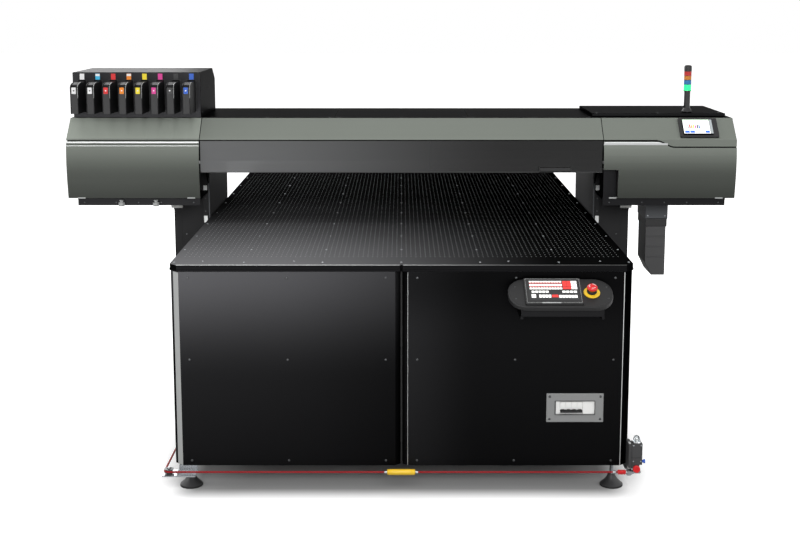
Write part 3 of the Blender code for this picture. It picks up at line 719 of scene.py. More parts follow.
TABLE_SCREW_COLUMNS = (-0.866, -0.6, -0.3, 0.0, 0.3, 0.6, 0.866)
TABLE_SCREW_STEP = 0.3


def table_screws():
    """Countersunk screws that hold the plate to its frame: a row every 300 mm, and pairs by the front."""
    rows = [0.05] + [TABLE_SCREW_STEP * i for i in range(1, 11)] + [TABLE_LENGTH - 0.05]
    spots = [(x, depth) for depth in rows for x in TABLE_SCREW_COLUMNS]
    spots += [(side * x, 0.07) for x in (0.41, 0.76) for side in (-1, 1)]
    places = [facing(x, depth, TABLE_TOP - 0.0004) for x, depth in spots]
    screws("table_screws", places, 0.0042, "table", "zinc_plated_steel")


PANEL_SCREW_X = (0.06, 0.434, 0.809)
PANEL_SCREW_HEIGHTS = (0.859, 0.54, 0.138)


def cabinet_screws():
    """Button-head screws of the front, side and rear panels."""
    places = []
    for x in PANEL_SCREW_X:
        for height in PANEL_SCREW_HEIGHTS:
            for side in (-1, 1):
                places.append(facing(side * x, 0, height, FACING_FRONT))
                places.append(facing(side * x, TABLE_LENGTH, height, FACING_BACK))
    for side, turn in ((-1, FACING_LEFT), (1, FACING_RIGHT)):
        places += [facing(side * 0.845, 0.2 + 0.4 * i, height, turn) for i in range(8)
                   for height in (PANEL_SCREW_HEIGHTS[0], PANEL_SCREW_HEIGHTS[2])]
    radius = bpy.context.scene.printer_sizes.screw_radius
    screws("cabinet_screws", places, radius, "table")


def cabinet_panels():
    """Coats of the cabinet's panels and of the frame under it."""
    for label, _ in SIDES:
        # Each front panel's coat carries painted light: a painted sheen on the left panel, painted shade on
        # the right.
        dress(f"front_panel_{label}", f"{label}_panel_coat", 0.0012)
    for name in ("rear_panel", "side_panel_left", "side_panel_right"):
        dress(name, "black_powder_coat", 0.0012)
    dress("base_frame", "black_powder_coat", 0.003)


def corner_painted_light():
    """Painted light on the front corners and beside the centre groove: a pale strip of painted reflection on
    the left corner, and thin painted highlights on the right corner's edge and beside the groove.
    """
    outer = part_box("front_panel_left")[0].x
    # A pale strip of painted reflection on the left corner's chamfer.
    wide = bmesh.new()
    flat = 0.845
    outline = [(outer - 0.0006, 0.033), (-flat - 0.0002, -0.0006), (0.001 - flat, -0.0006),
               (0.001 - flat, 0.0002), (-flat, 0.0002), (outer, 0.0321), (outer, 0.033)]
    add_prism(wide, outline, PANEL_LOW + 0.001, TABLE_UNDER - 0.003, FROM_FRONT)
    piece("left_corner_trim", wide, "satin_trim", "table", edge=0.0002)
    # Thin painted highlights along the right corner's edge and the right panel's edge by the groove.
    shape = bars(((flat - 0.002, -0.0007, PANEL_LOW + 0.001), (flat + 0.0002, 0.0004, TABLE_UNDER - 0.003)),
                 ((0.0235, -0.0005, PANEL_LOW + 0.001), (0.0247, 0.0004, TABLE_UNDER - 0.003)))
    piece("panel_edge_lines", shape, "bright_trim", "table", edge=0.0002)


def groove_backing():
    """The dark strip that closes the groove between the two front modules."""
    shape = bars(((-0.003, 0.0215, PANEL_LOW + 0.002), (0.003, 0.03, TABLE_UNDER - 0.004)))
    piece("groove_backing", shape, "black_rubber", "table")


def side_panel_joints():
    """Cover strips over the joints of the long side panels."""
    for label, side in SIDES:
        shape = bmesh.new()
        for depth in (0.6, 1.2, 1.8, 2.4):
            for low, high in ((PANEL_LOW + 0.004, 0.596), (0.634, TABLE_UNDER - 0.006)):
                add_bar(shape, (side * 0.8452, depth - 0.012, low), (side * 0.8462, depth + 0.012, high))
        piece(f"side_joint_strips_{label}", shape, "black_powder_coat", "table", edge=0.0004)


def side_rails():
    """Finish of the ground rails that the gantry runs on."""
    for label, _ in SIDES:
        dress(f"side_rail_{label}", "ground_steel", 0.001)


def rail_stops():
    """Rubber buffers at both ends of the side rails, and the rails' own screws."""
    for label, side in SIDES:
        low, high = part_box(f"side_rail_{label}")
        near, far = low.y - FRONT, high.y - FRONT
        stops = bars(*(((side * 0.8455, depth - 0.014, 0.592), (side * 0.8645, depth + 0.014, 0.638))
                       for depth in (near - 0.018, far + 0.018)))
        piece(f"rail_stops_{label}", stops, "black_rubber", "table", edge=0.002)
        outer, turn = (high.x, FACING_RIGHT) if side > 0 else (low.x, FACING_LEFT)
        heads = [facing(outer - side * 0.0014, near + 0.05 + i * 0.15, 0.615, turn) for i in range(19)]
        screws(f"rail_screws_{label}", heads, 0.004, "table")


def rear_fittings():
    """What the rear panel carries: two louvred air outlets, and two inlet plates with their inlets."""
    back = TABLE_LENGTH
    shape = bmesh.new()
    for row in range(9):
        height = 0.56 + row * 0.026
        for x in (-0.52, 0.52):
            add_prism(shape, [(0, 0), (0.009, 0.002), (0.009, 0.005), (0, 0.018)], x - 0.15, x + 0.15,
                      facing(0, back, height, SIDE_VIEW))
    piece("rear_louvres", shape, "black_powder_coat", "table", edge=0.0006)
    shape = bmesh.new()
    for x in (-0.4, 0.4):
        add_prism(shape, rounded(0.075, 0.055, 0.006), 0, 0.003, facing(x, back, 0.3, FACING_BACK))
    piece("rear_inlet_plates", shape, "moulded_mid_grey", "table", edge=0.0008)
    shape = bmesh.new()
    for x in (-0.4, 0.4):
        add_plate_ring(shape, rounded(0.03, 0.022, 0.005), rounded(0.024, 0.016, 0.003), 0.003, 0.007,
                       facing(x - 0.03, back, 0.3, FACING_BACK))
        add_turned(shape, [(0, 0.01), (0.01, 0.01), (0.012, 0.009), (0.016, 0.005), (0.016, 0), (0, 0)],
                   facing(x + 0.036, back, 0.3, FACING_BACK), 18)
    piece("rear_inlets", shape, "moulded_abs", "table", edge=0.0006)
    places = [
        facing(x + u, back + 0.003, 0.3 + v, FACING_BACK)
        for x in (-0.4, 0.4) for u in (-0.066, 0.066) for v in (-0.046, 0.046)
    ]
    screws("rear_plate_screws", places, 0.0034, "table", "zinc_plated_steel")


def blower_detail():
    """Cooling fins, a terminal box and the ports of the vacuum blower."""
    dress("vacuum_blower", "cast_aluminium", 0.003)
    low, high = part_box("vacuum_blower")
    middle = (low + high) / 2
    fins = bmesh.new()
    for i in range(9):
        height = low.z + 0.175 + i * 0.017
        profile = [(0.099, 0), (0.11, 0.001), (0.11, 0.003), (0.099, 0.004)]
        add_turned(fins, profile, local(middle.x, middle.y, height), 32, ring=True)
    piece("blower_fins", fins, "cast_aluminium", "table")
    shape = drawn(add_block, (-0.045, -0.15, low.z + 0.2), (0.045, -0.102, low.z + 0.29),
                  local(0, middle.y, 0))
    piece("blower_terminal_box", shape, "moulded_dark_grey", "table", edge=0.003)
    ports = bmesh.new()
    for x in (-0.11, 0.11):
        place = local(middle.x + x, middle.y - 0.15, low.z + 0.07, FACING_FRONT)
        add_turned(ports, [(0.026, 0.11), (0.029, 0.11), (0.029, 0.09), (0.032, 0.088), (0.032, 0.08),
                           (0.028, 0.078), (0.028, 0), (0, 0), (0, 0.005), (0.025, 0.005)], place, 24)
    piece("blower_ports", ports, "black_rubber", "table")


# ---------------------------------------------------------------- feet


def levelling_feet():
    """Each foot: a rubber pad under a dark moulded skirt, a threaded stem, a lock nut and the bolted plate
    above.
    """
    radius = bpy.context.scene.printer_sizes.pad_radius
    for label, side in SIDES:
        for number in (1, 2, 3):
            node_name = f"foot_{label}_{number}"
            low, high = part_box(node_name)
            centre = Vector((side * 0.83, (low.y + high.y) / 2, 0))
            place = Matrix.Translation(centre)
            shape = drawn(add_turned, [(0, 0.0075), (radius - 0.001, 0.0075), (radius, 0.006),
                                       (radius, 0.0015), (radius - 0.0015, 0), (0, 0)], place, 36)
            piece(f"{node_name}_pad", shape, "black_rubber", "table")
            shape = drawn(add_turned, [(0, 0.05), (0.012, 0.05), (0.015, 0.047), (0.0165, 0.041),
                                       (0.02, 0.033), (0.029, 0.022), (0.04, 0.0125), (0.044, 0.009),
                                       (0.044, 0.0072), (0, 0.0072)], place, 36)
            piece(f"{node_name}_skirt", shape, "moulded_dark_grey", "table")
            stem = bmesh.new()
            profile = [(0, 0.1045), (0.0075, 0.1045)]
            turns = 22
            for turn in range(turns):
                height = 0.104 - (turn + 0.5) * (0.054 / turns)
                profile += [(0.0082, height + 0.0006), (0.007, height - 0.0006)]
            add_turned(stem, [*profile, (0.0075, 0.0495), (0, 0.0495)], place, 20)
            piece(f"{node_name}_stem", stem, "zinc_plated_steel", "table")
            shape = drawn(add_turned, [(0.015, 0.0975), (0.0162, 0.0965), (0.0162, 0.0885), (0.015, 0.0875),
                                       (0.0076, 0.0875), (0.0076, 0.0975)], place, 6, ring=True)
            piece(f"{node_name}_nut", shape, "zinc_plated_steel", "table", edge=0.0006)
            # The plate lies between the stem and the frame; its own corners are cut.
            plate = drawn(add_prism, rounded(min((high.x - low.x) / 2, 0.0445), 0.0445, 0.006), 0.1042,
                          high.z, local((low.x + high.x) / 2, centre.y, 0))
            piece(f"{node_name}_plate", plate, "bright_trim", "table", edge=0.001, replaces=[node_name])
            bolts = [local(centre.x + u * side, centre.y + v, 0.1042) @ Matrix.Rotation(math.pi, 4, "X")
                     for u in (-0.045, 0.012) for v in (-0.032, 0.032)]
            shape = bmesh.new()
            for bolt in bolts:
                add_turned(shape, [(0, 0.0052), (0.005, 0.0052), (0.0058, 0.0044), (0.0058, 0), (0, 0)], bolt,
                           6)
            piece(f"{node_name}_bolts", shape, "black_oxide_steel", "table")


# ---------------------------------------------------------------- safety rope


def rope_run():
    """The taut rope on its CAD solid's route: along the front, round the pulley and down the left side."""
    front_low, front_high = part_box("pull_rope")
    pulley_low, pulley_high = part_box("corner_pulley")
    radius = bpy.context.scene.printer_sizes.rope_radius
    height = (front_low.z + front_high.z) / 2
    front_y, left_x = front_low.y + radius, front_low.x + radius
    right_x, back_y = front_high.x, front_high.y
    middle = (pulley_low + pulley_high) / 2
    bend = middle.x - left_x
    front_run = [(right_x + (middle.x - right_x) * i / 24, front_y, height) for i in range(25)]
    turns = 10
    corner = []
    for step in range(turns + 1):
        turn = -math.pi / 2 - math.pi / 2 * step / turns
        corner.append((middle.x + bend * math.cos(turn), middle.y + bend * math.sin(turn), height))
    side_run = [(left_x, middle.y + (back_y - middle.y) * i / 24, height) for i in range(25)]
    route = [*front_run[:-1], *corner, *side_run[1:]]
    shape = drawn(add_tube, route, radius, 14)
    piece("rope_sheath", shape, "rope_sheath", "table", replaces=["pull_rope"])
    # Crimped ferrules where the rope enters its fittings, and the eye bolt at its rear end
    shape = bmesh.new()
    for x in (right_x - 0.012, -0.06, 0.058):
        place = local(x, front_y, height, FACING_RIGHT)
        add_turned(shape, [(radius + 0.0002, 0.006), (0.005, 0.006), (0.0055, 0.004), (0.0055, -0.004),
                           (0.005, -0.006), (radius + 0.0002, -0.006)], place, 16, ring=True)
    place = local(left_x, back_y - 0.012, height, FACING_BACK)
    add_turned(shape, [(0, 0.01), (0.0052, 0.01), (0.006, 0.008), (0.006, -0.008), (0.0048, -0.01),
                       (radius + 0.0002, -0.01)], place, 16)
    piece("rope_ferrules", shape, "zinc_plated_steel", "table")


def rope_sleeve():
    """The yellow grip sleeve, with ribs near both ends."""
    low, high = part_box("rope_sleeve")
    middle = (low + high) / 2
    half, outer = (high.x - low.x) / 2, (high.z - low.z) / 2
    profile = [(outer * 0.78, half), (outer * 0.92, half * 0.96)]
    for share in (0.84, 0.76, 0.68):
        profile += [(outer * 0.93, half * (share + 0.03)), (outer, half * share)]
    profile += [(outer * 0.97, half * 0.6), (outer * 0.97, -half * 0.6)]
    for share in (0.68, 0.76, 0.84):
        profile += [(outer, -half * share), (outer * 0.93, -half * (share + 0.03))]
    profile += [(outer * 0.92, -half * 0.96), (outer * 0.78, -half), (0.0041, -half), (0.0041, half)]
    shape = drawn(add_turned, profile, Matrix.Translation(middle) @ FACING_RIGHT, 28, ring=True)
    piece("sleeve_grip", shape, "moulded_yellow", "table", replaces=["rope_sleeve"])


def rope_tensioner():
    """The red boot, the threaded body with its two lock nuts, and the eye that hooks the switch."""
    low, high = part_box("rope_turnbuckle")
    y, z = low.y + 0.015, low.z + 0.015
    x0, x1 = low.x, high.x
    place = local(x0, y, z, FACING_RIGHT)
    boot = bmesh.new()
    profile = [(0, 0.0005), (0.007, 0.0005)]
    for i in range(5):
        profile += [(0.0098, 0.004 + i * 0.0055), (0.0078, 0.0068 + i * 0.0055)]
    add_turned(boot, [*profile, (0.0085, 0.031), (0, 0.031)], place, 24)
    piece("rope_boot", boot, "moulded_red", "table", replaces=["rope_turnbuckle"])
    body = bmesh.new()
    add_turned(body, [(0, 0.031), (0.005, 0.031), (0.0052, 0.0345), (0, 0.0345)], place, 20)
    add_turned(body, [(0, 0.0345), (0.0126, 0.035), (0.0146, 0.038), (0.015, 0.044), (0.0146, 0.05),
                      (0.0126, 0.053), (0, 0.0535)], place, 6)
    add_turned(body, [(0, 0.0535), (0.0092, 0.0535), (0.0092, 0.061), (0.006, 0.062), (0, 0.062)], place, 6)
    thread = [(0, 0.062), (0.0056, 0.062)]
    for i in range(9):
        thread += [(0.006, 0.064 + i * 0.0026), (0.0051, 0.0653 + i * 0.0026)]
    add_turned(body, [*thread, (0.0056, x1 - x0 - 0.002), (0, x1 - x0)], place, 20)
    piece("rope_turnbuckle_body", body, "zinc_plated_steel", "table")
    eye = bmesh.new()
    centre = Vector(((x0 + x1) / 2 + 0.026, y, z + 0.019))
    ring = [centre + Vector((0.0095 * u, 0, 0.0125 * v)) for u, v in circle(1, 20)]
    add_tube(eye, ring, 0.0022, 10, closed=True)
    piece("rope_eye", eye, "chrome_plate", "table")


def corner_pulley():
    """A grooved wheel on a shouldered pin, in its pressed bracket."""
    low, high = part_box("corner_pulley")
    middle = (low + high) / 2
    outer, half = (high.x - low.x) / 2, (high.z - low.z) / 2
    wheel = bmesh.new()
    groove = outer - 0.0058
    add_turned(wheel, [
        (outer - 0.0006, half), (outer, half - 0.0008), (outer - 0.0006, half - 0.0018),
        (groove + 0.0012, 0.0032),
        (groove, 0.0012), (groove, -0.0012), (groove + 0.0012, -0.0032), (outer - 0.0006, 0.0018 - half),
        (outer, 0.0008 - half), (outer - 0.0006, -half), (0.01, -half), (0.009, 0.002 - half),
        (0.0045, 0.002 - half),
        (0.0045, half - 0.002), (0.009, half - 0.002), (0.01, half),
    ], Matrix.Translation(middle), 36, ring=True)
    for spoke in range(5):
        turn = 2 * math.pi * spoke / 5
        place = Matrix.Translation(middle + Vector((0.0098 * math.cos(turn), 0.0098 * math.sin(turn), half)))
        add_turned(wheel, [(0, 0.0004), (0.001, 0.0004), (0.0014, 0), (0, 0)], place, 12)
    piece("pulley_wheel", wheel, "black_oxide_steel", "corner_pulley", replaces=["corner_pulley"])
    shape = drawn(add_turned, [(0, 0.0145), (0.0048, 0.014), (0.0062, 0.012), (0.0062, 0.0088), (0, 0.0088)],
                  Matrix.Translation(middle), 6)
    piece("pulley_nut", shape, "zinc_plated_steel", "table")
    dress("pulley_bracket", "zinc_plated_steel", 0.001)


def rope_switch():
    """The switch's lamp bezel and core, button and knob, and its housing's screws, joint and pillar."""
    dress("switch_body", "moulded_dark_grey", 0.002)
    dress("switch_lamp", "clear_polycarbonate", 0)
    low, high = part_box("switch_lamp")
    middle = (low + high) / 2
    shape = drawn(add_turned, [(0.0165, -0.0002), (0.0172, 0.0018), (0.016, 0.0036), (0.0137, 0.0036),
                               (0.0137, -0.0002)], local(middle.x, middle.y, low.z), 28, ring=True)
    piece("lamp_bezel", shape, "chrome_plate", "table")
    shape = drawn(add_turned, [(0, 0.0175), (0.003, 0.0165), (0.0042, 0.013), (0.0042, 0.001), (0, 0.001)],
                  local(middle.x, middle.y, low.z), 16)
    piece("lamp_core", shape, "moulded_white", "table")
    low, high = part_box("switch_button")
    place = local((low.x + high.x) / 2, high.y, (low.z + high.z) / 2, FACING_FRONT)
    long = high.y - low.y
    shape = drawn(add_turned, [(0, long - 0.0006), (0.008, long - 0.0004), (0.012, long),
                               (0.0134, long - 0.001), (0.014, long - 0.0032), (0.014, 0.0078),
                               (0.0132, 0.007), (0.008, 0.007), (0.008, 0), (0, 0)], place, 32)
    piece("switch_red_button", shape, "moulded_red", "switch_button", replaces=["switch_button"])
    low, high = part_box("reset_knob")
    place = local(low.x, (low.y + high.y) / 2, (low.z + high.z) / 2, FACING_RIGHT)
    long = high.x - low.x
    knob = bmesh.new()
    add_prism(knob, fluted(0.008, 0.0007, 24), 0.0085, long - 0.0008, place)
    add_turned(knob, [(0, long), (0.006, long), (0.0072, long - 0.0008), (0, long - 0.0008)], place, 24)
    add_turned(knob, [(0, 0.0086), (0.0052, 0.0086), (0.0052, 0), (0, 0)], place, 20)
    piece("blue_reset_knob", knob, "moulded_blue", "reset_knob", edge=0.0003,
          replaces=["reset_knob"])
    low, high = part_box("switch_body")
    places = [facing(x, -0.06, z, FACING_FRONT) for x in (0.8855, 0.9135) for z in (0.156, 0.2185)]
    screws("switch_screws", places, 0.0026, "table", "zinc_plated_steel")
    shape = bars(((0.8795, -0.0606, 0.17), (0.9196, -0.0195, 0.1712)))
    piece("switch_joint", shape, "black_rubber", "table")
    shape = bars(((0.869, -0.046, 0.114), (0.8785, -0.024, 0.223)))
    piece("switch_pillar", shape, "bright_trim", "table", edge=0.001)


# ---------------------------------------------------------------- control desk


DESK_TILT = math.radians(28.5)
DESK_THICK = 0.022
DESK_TURN = Matrix.Rotation(DESK_TILT, 4, "X")


def on_desk(x, slope, lift=0.0):
    """A local frame on the sloped desk, its Z along the desk's normal; slope runs down from the rear edge."""
    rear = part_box("desk_tray")[1]
    # The tray's rear top edge: its highest corner is the face's own edge.
    forward = Vector((0, -math.cos(DESK_TILT), -math.sin(DESK_TILT)))
    normal = Vector((0, -math.sin(DESK_TILT), math.cos(DESK_TILT)))
    edge = Vector((0, rear.y - DESK_THICK * math.sin(DESK_TILT), rear.z))
    return Matrix.Translation(Vector((x, 0, 0)) + edge + forward * slope + normal * lift) @ DESK_TURN


SCREEN_FIELDS = (
    ("display_white", 0.002, 0.0102, 0.0084, 12, 0.002, 0.008),
    ("display_red", 0.002, 0.0102, 0.0084, 12, 0.011, 0.0045),
    ("display_white", 0.002, 0.0102, 0.0088, 12, 0.019, 0.012),
    ("display_red", 0.002, 0.0102, 0.007, 12, 0.032, 0.0045),
    ("display_white", 0.002, 0.0102, 0.0088, 12, 0.039, 0.01),
    ("display_red", 0.126, 0.016, 0.015, 2, 0.002, 0.03),
    ("display_white", 0.158, 0.011, 0.01, 2, 0.002, 0.014),
    ("display_white", 0.158, 0.011, 0.01, 2, 0.018, 0.014),
    ("display_red", 0.126, 0.016, 0.015, 2, 0.034, 0.014),
    ("display_white", 0.158, 0.011, 0.01, 2, 0.034, 0.014),
    ("display_white", 0.008, 0.013, 0.0105, 5, 0.057, 0.011),
    ("display_white", 0.122, 0.014, 0.0115, 4, 0.057, 0.011),
    ("display_white", 0.006, 0.02, 0.016, 1, 0.076, 0.02),
    ("display_white", 0.034, 0.0115, 0.0098, 4, 0.079, 0.016),
    ("display_red", 0.082, 0.024, 0.023, 1, 0.079, 0.014),
    ("display_white", 0.108, 0.0115, 0.0098, 6, 0.081, 0.015),
)


def control_desk():
    """The desk's screws, rim and posts, and its screen with the fields that it shows."""
    dress("desk_tray", "moulded_abs", 0.0045)
    dress("desk_bracket", "black_powder_coat", 0.002)
    dress("desk_screen", "glossy_abs", 0.0012)
    low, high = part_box("desk_screen")
    middle_x = (low.x + high.x) / 2
    slope = 0.079
    top = 0.0103
    shape = drawn(add_plate_ring, rounded(0.108, 0.0725, 0.006), rounded(0.1066, 0.0711, 0.005), 0.0002,
                  0.0035, on_desk(middle_x, slope))
    piece("screen_gasket", shape, "black_rubber", "table")
    shape = drawn(add_prism, rounded(0.0905, 0.056, 0.002), top, top + 0.0004,
                  on_desk(middle_x, slope - 0.002))
    piece("screen_glass", shape, "display_black", "table")
    shape = drawn(add_plate_ring, rounded(0.1014, 0.0664, 0.003), rounded(0.1006, 0.0656, 0.003), 0.01,
                  0.0108, on_desk(middle_x, slope))
    piece("screen_bezel_line", shape, "satin_trim", "table")
    # Each row of the display's fields: ink, first X, pitch, width, count, distance down, height
    left, back = -0.089, 0.054
    cells = {}
    for ink, first, pitch, wide, count, down, tall in SCREEN_FIELDS:
        shape = cells.setdefault(ink, bmesh.new())
        for column in range(count):
            x, y = left + first + column * pitch, back - down
            add_prism(shape, box_outline(x, y - tall, x + wide, y), top + 0.0004, top + 0.0006,
                      on_desk(middle_x, slope - 0.002))
    for ink, shape in cells.items():
        piece(f"screen_cells_{ink}", shape, ink, "table")
    shape = drawn(add_prism, rounded(0.035, 0.0022, 0.001), top, top + 0.0005,
                  on_desk(middle_x - 0.012, slope + 0.0665))
    piece("screen_label_strip", shape, "label_silver", "table")
    tray_low, tray_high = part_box("desk_tray")
    places = [on_desk(x, s, 0.0002) for x in (tray_low.x + 0.028, tray_high.x - 0.02) for s in (0.046, 0.112)]
    screws("desk_screws", places, 0.004, "table")
    shape = drawn(add_plate_ring, rounded(0.191, 0.0747, 0.0655, 10), rounded(0.1885, 0.0722, 0.063, 10), 0.0,
                  0.001, on_desk((tray_low.x + tray_high.x) / 2, 0.079))
    piece("desk_rim", shape, "moulded_abs", "table", edge=0.0004)
    shape = bars(*(((x - 0.006, -0.115, 0.725), (x + 0.006, -0.0008, 0.739)) for x in (0.447, 0.748)))
    piece("desk_bracket_posts", shape, "black_cover_coat", "table", edge=0.002)


def emergency_stop():
    """The red mushroom head with its turning arrows, on a dark collar over the yellow ring."""
    dress("stop_base", "moulded_yellow", 0.0006)
    base_low, base_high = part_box("stop_base")
    x = (base_low.x + base_high.x) / 2
    place = on_desk(x, 0.08, 0.0003)
    shape = drawn(add_turned, [(0.0142, 0.0152), (0.0168, 0.0148), (0.018, 0.013), (0.0185, 0.005),
                               (0.0142, 0.0048)], place, 36, ring=True)
    piece("stop_collar", shape, "moulded_abs", "table")
    shape = drawn(add_turned, [(0, 0.034), (0.006, 0.0339), (0.011, 0.0334), (0.015, 0.0322), (0.018, 0.03),
                               (0.0196, 0.0276), (0.02, 0.0252), (0.0196, 0.0226), (0.0184, 0.0208),
                               (0.014, 0.02), (0.01, 0.0205), (0.01, 0.0055), (0, 0.0055)], place, 40)
    piece("stop_head", shape, "moulded_red", "stop_button", replaces=["stop_button"])
    arrows = bmesh.new()
    for start in (0.15, 0.15 + 2 * math.pi / 3, 0.15 + 4 * math.pi / 3):
        inner, outer, sweep, steps = 0.0105, 0.0125, 1.1, 8
        outline = [(outer * math.cos(start + sweep * i / steps), outer * math.sin(start + sweep * i / steps))
                   for i in range(steps + 1)]
        tip = start + sweep + 0.25
        mid = (inner + outer) / 2
        outline += [((outer + 0.0014) * math.cos(start + sweep), (outer + 0.0014) * math.sin(start + sweep)),
                    (mid * math.cos(tip), mid * math.sin(tip)),
                    ((inner - 0.0014) * math.cos(start + sweep), (inner - 0.0014) * math.sin(start + sweep))]
        outline += [(inner * math.cos(start + sweep * i / steps), inner * math.sin(start + sweep * i / steps))
                    for i in reversed(range(steps + 1))]
        add_prism(arrows, outline, 0.0326, 0.0338, place)
    piece("stop_arrows", arrows, "moulded_white", "stop_button")


# ---------------------------------------------------------------- breaker panel


def breaker_panel():
    """The window's lip, and four breaker poles beside blank plates."""
    dress("breaker_frame", "moulded_mid_grey", 0.0018)
    dress("breaker_toggle", "moulded_abs", 0.0008)
    low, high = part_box("breaker_frame")
    middle = (low + high) / 2
    lip = bmesh.new()
    place = local(middle.x, low.y, middle.z, FACING_FRONT)
    add_plate_ring(lip, rounded(0.0775, 0.0285, 0.004), rounded(0.0748, 0.026, 0.003), -0.0002, 0.002, place)
    piece("breaker_window_lip", lip, "moulded_dark_grey", "table", edge=0.0006)
    places = [local(x, low.y, z, FACING_FRONT)
              for x in (low.x + 0.012, high.x - 0.012) for z in (low.z + 0.012, high.z - 0.012)]
    screws("breaker_screws", places, 0.005, "table")
    # Four breaker poles beside blank plates, with the dark lever of each pole under the joined toggle
    modules, levers = bmesh.new(), bmesh.new()
    front, pole = -0.003, 0.0216
    for i in range(4):
        x0 = 0.6085 + i * pole + 0.0003
        x1 = 0.6085 + (i + 1) * pole - 0.0003
        add_bar(modules, (x0, front + 0.004, 0.3264), (x1, 0.03, 0.3762))
        add_bar(modules, (x0, front - 0.001, 0.35), (x1, front + 0.0045, 0.3735))
        add_bar(modules, (x0, front + 0.0012, 0.3264), (x1, front + 0.0045, 0.329))
        middle_x = (x0 + x1) / 2
        tooth = [(middle_x - 0.0062, 0.344), (middle_x - 0.0022, 0.331), (middle_x + 0.0022, 0.331),
                 (middle_x + 0.0062, 0.344)]
        add_prism(levers, tooth, -front - 0.0036, -front + 0.0002, FRONT_PLANE)
    add_bar(modules, (0.5932, front, 0.3264), (0.6079, 0.03, 0.3762))
    add_bar(modules, (0.6955, front, 0.3264), (0.7406, 0.03, 0.3762))
    piece("breaker_poles", modules, "moulded_bright_white", "table", edge=0.0004,
          replaces=["breaker_modules"])
    piece("breaker_levers", levers, "moulded_abs", "table")




# ---------------------------------------------------------------- legs


def gantry_legs():
    """The legs' folded seams, lift rails, runner blocks, gussets, edge strips, liners, hatches, wipers and
    screws.
    """
    for label, side in SIDES:
        dress(f"leg_{label}", "liner_grey", 0.0016)
        low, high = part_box(f"leg_{label}")
        front, back = low.y - FRONT + 0.0115, high.y - FRONT
        turn = FACING_RIGHT if side > 0 else FACING_LEFT

        def strips(name, finish_name, slot, edge, *corners):
            shape = bars(*(((side * x0, *low), (side * x1, *high)) for (x0, *low), (x1, *high) in corners))
            piece(f"{name}_{label}", shape, finish_name, "gantry", edge=edge)

        strips("lift_rail_face", "liner_grey", "steel", 0.0005,
               ((0.8965, 1.1255, 0.6), (0.9175, 1.1272, 1.138)))
        inner, outer = sorted((side * 0.8965, side * 0.9175))
        blocks = bars(*(((inner + 0.002, 1.124, bottom), (outer - 0.002, 1.1262, top))
                        for bottom, top in ((0.876, 0.908), (1.02, 1.05))))
        piece(f"lift_blocks_{label}", blocks, "bright_trim", "gantry", edge=0.0005)
        places = [facing(side * 0.907, 1.1255, 0.63 + 0.06 * i, FACING_FRONT) for i in range(9)]
        screws(f"lift_rail_screws_{label}", places, 0.0036, "gantry")
        strips("leg_folds", "black_rubber", "black_sheet", 0,
               ((1.02, front - 0.0008, 0.426), (1.0212, front + 0.001, 1.144)),
               ((0.93, front - 0.0006, 0.426), (0.9306, front + 0.001, 1.144)))
        strips("leg_edge_strip", "graphite_coat", "black_sheet", 0.0003,
               ((0.8894, front - 0.0008, 0.426), (0.895, front + 0.0008, 1.144)))
        strips("leg_liner", "liner_grey", "black_sheet", 0, ((0.8883, 1.14, 0.915), (0.889, 1.738, 1.143)))
        web = [(1.04, 1.144), (1.122, 1.06), (1.122, 1.144)]
        brace = drawn(add_prism, web, *sorted((side * 0.889, side * 0.894)), FROM_FRONT @ SIDE_VIEW)
        piece(f"beam_brace_{label}", brace, "black_powder_coat", "beam", edge=0.0006)
        heads = [facing(side * 0.975, back, 0.46 + 0.11 * i, FACING_BACK) for i in range(7)]
        heads += [facing(side * 1.055, depth, height, turn) for depth in (1.2, 1.44, 1.68)
                  for height in (0.46, 0.79, 1.1)]
        heads += [facing(side * 1.0, front, height, FACING_FRONT) for height in (0.5, 0.66, 0.82, 0.98)]
        screws(f"leg_screws_{label}", heads, 0.0044, "gantry")
        strips("leg_hatches", "black_powder_coat", "black_sheet", 0.0015,
               *(((1.0552, 1.3, height), (1.06, 1.58, height + 0.28)) for height in (0.45, 0.8)))
        strips("runner_wipers", "black_rubber", "black_plastic", 0.0006,
               *(((0.864, depth, 0.589), (0.889, depth + 0.004, 0.641)) for depth in (1.166, 1.27, 1.606,
                                                                                      1.71)))


# ---------------------------------------------------------------- beam and covers


BAND_LOW = (0.865, 1.2896)
BAND_HIGH = (0.958, 1.378)
BAND_TILT = math.atan2(BAND_HIGH[1] - BAND_LOW[1], BAND_HIGH[0] - BAND_LOW[0])


def on_slope(x, share, lift=0.0):
    """A local frame on the sloped front band, from its lower edge at share 0 to its upper edge at 1."""
    depth = BAND_LOW[0] + (BAND_HIGH[0] - BAND_LOW[0]) * share - lift * math.sin(BAND_TILT)
    height = BAND_LOW[1] + (BAND_HIGH[1] - BAND_LOW[1]) * share + lift * math.cos(BAND_TILT)
    return Matrix.Translation(at(x, depth, height)) @ Matrix.Rotation(BAND_TILT, 4, "X")


def slope_strip(shape, left, right, low_share, high_share, lift, thick=0.001):
    """A thin strip that lies on the slope, between two heights up it."""
    left, right = sorted((left, right))
    long = math.hypot(BAND_HIGH[0] - BAND_LOW[0], BAND_HIGH[1] - BAND_LOW[1])
    outline = box_outline(left, low_share * long, right, high_share * long)
    add_prism(shape, outline, lift - thick, lift, on_slope(0, 0))


COVER_JOINTS = (-0.3, 0.3)
SHELL_SCREW_HEIGHTS = (1.06, 1.35)


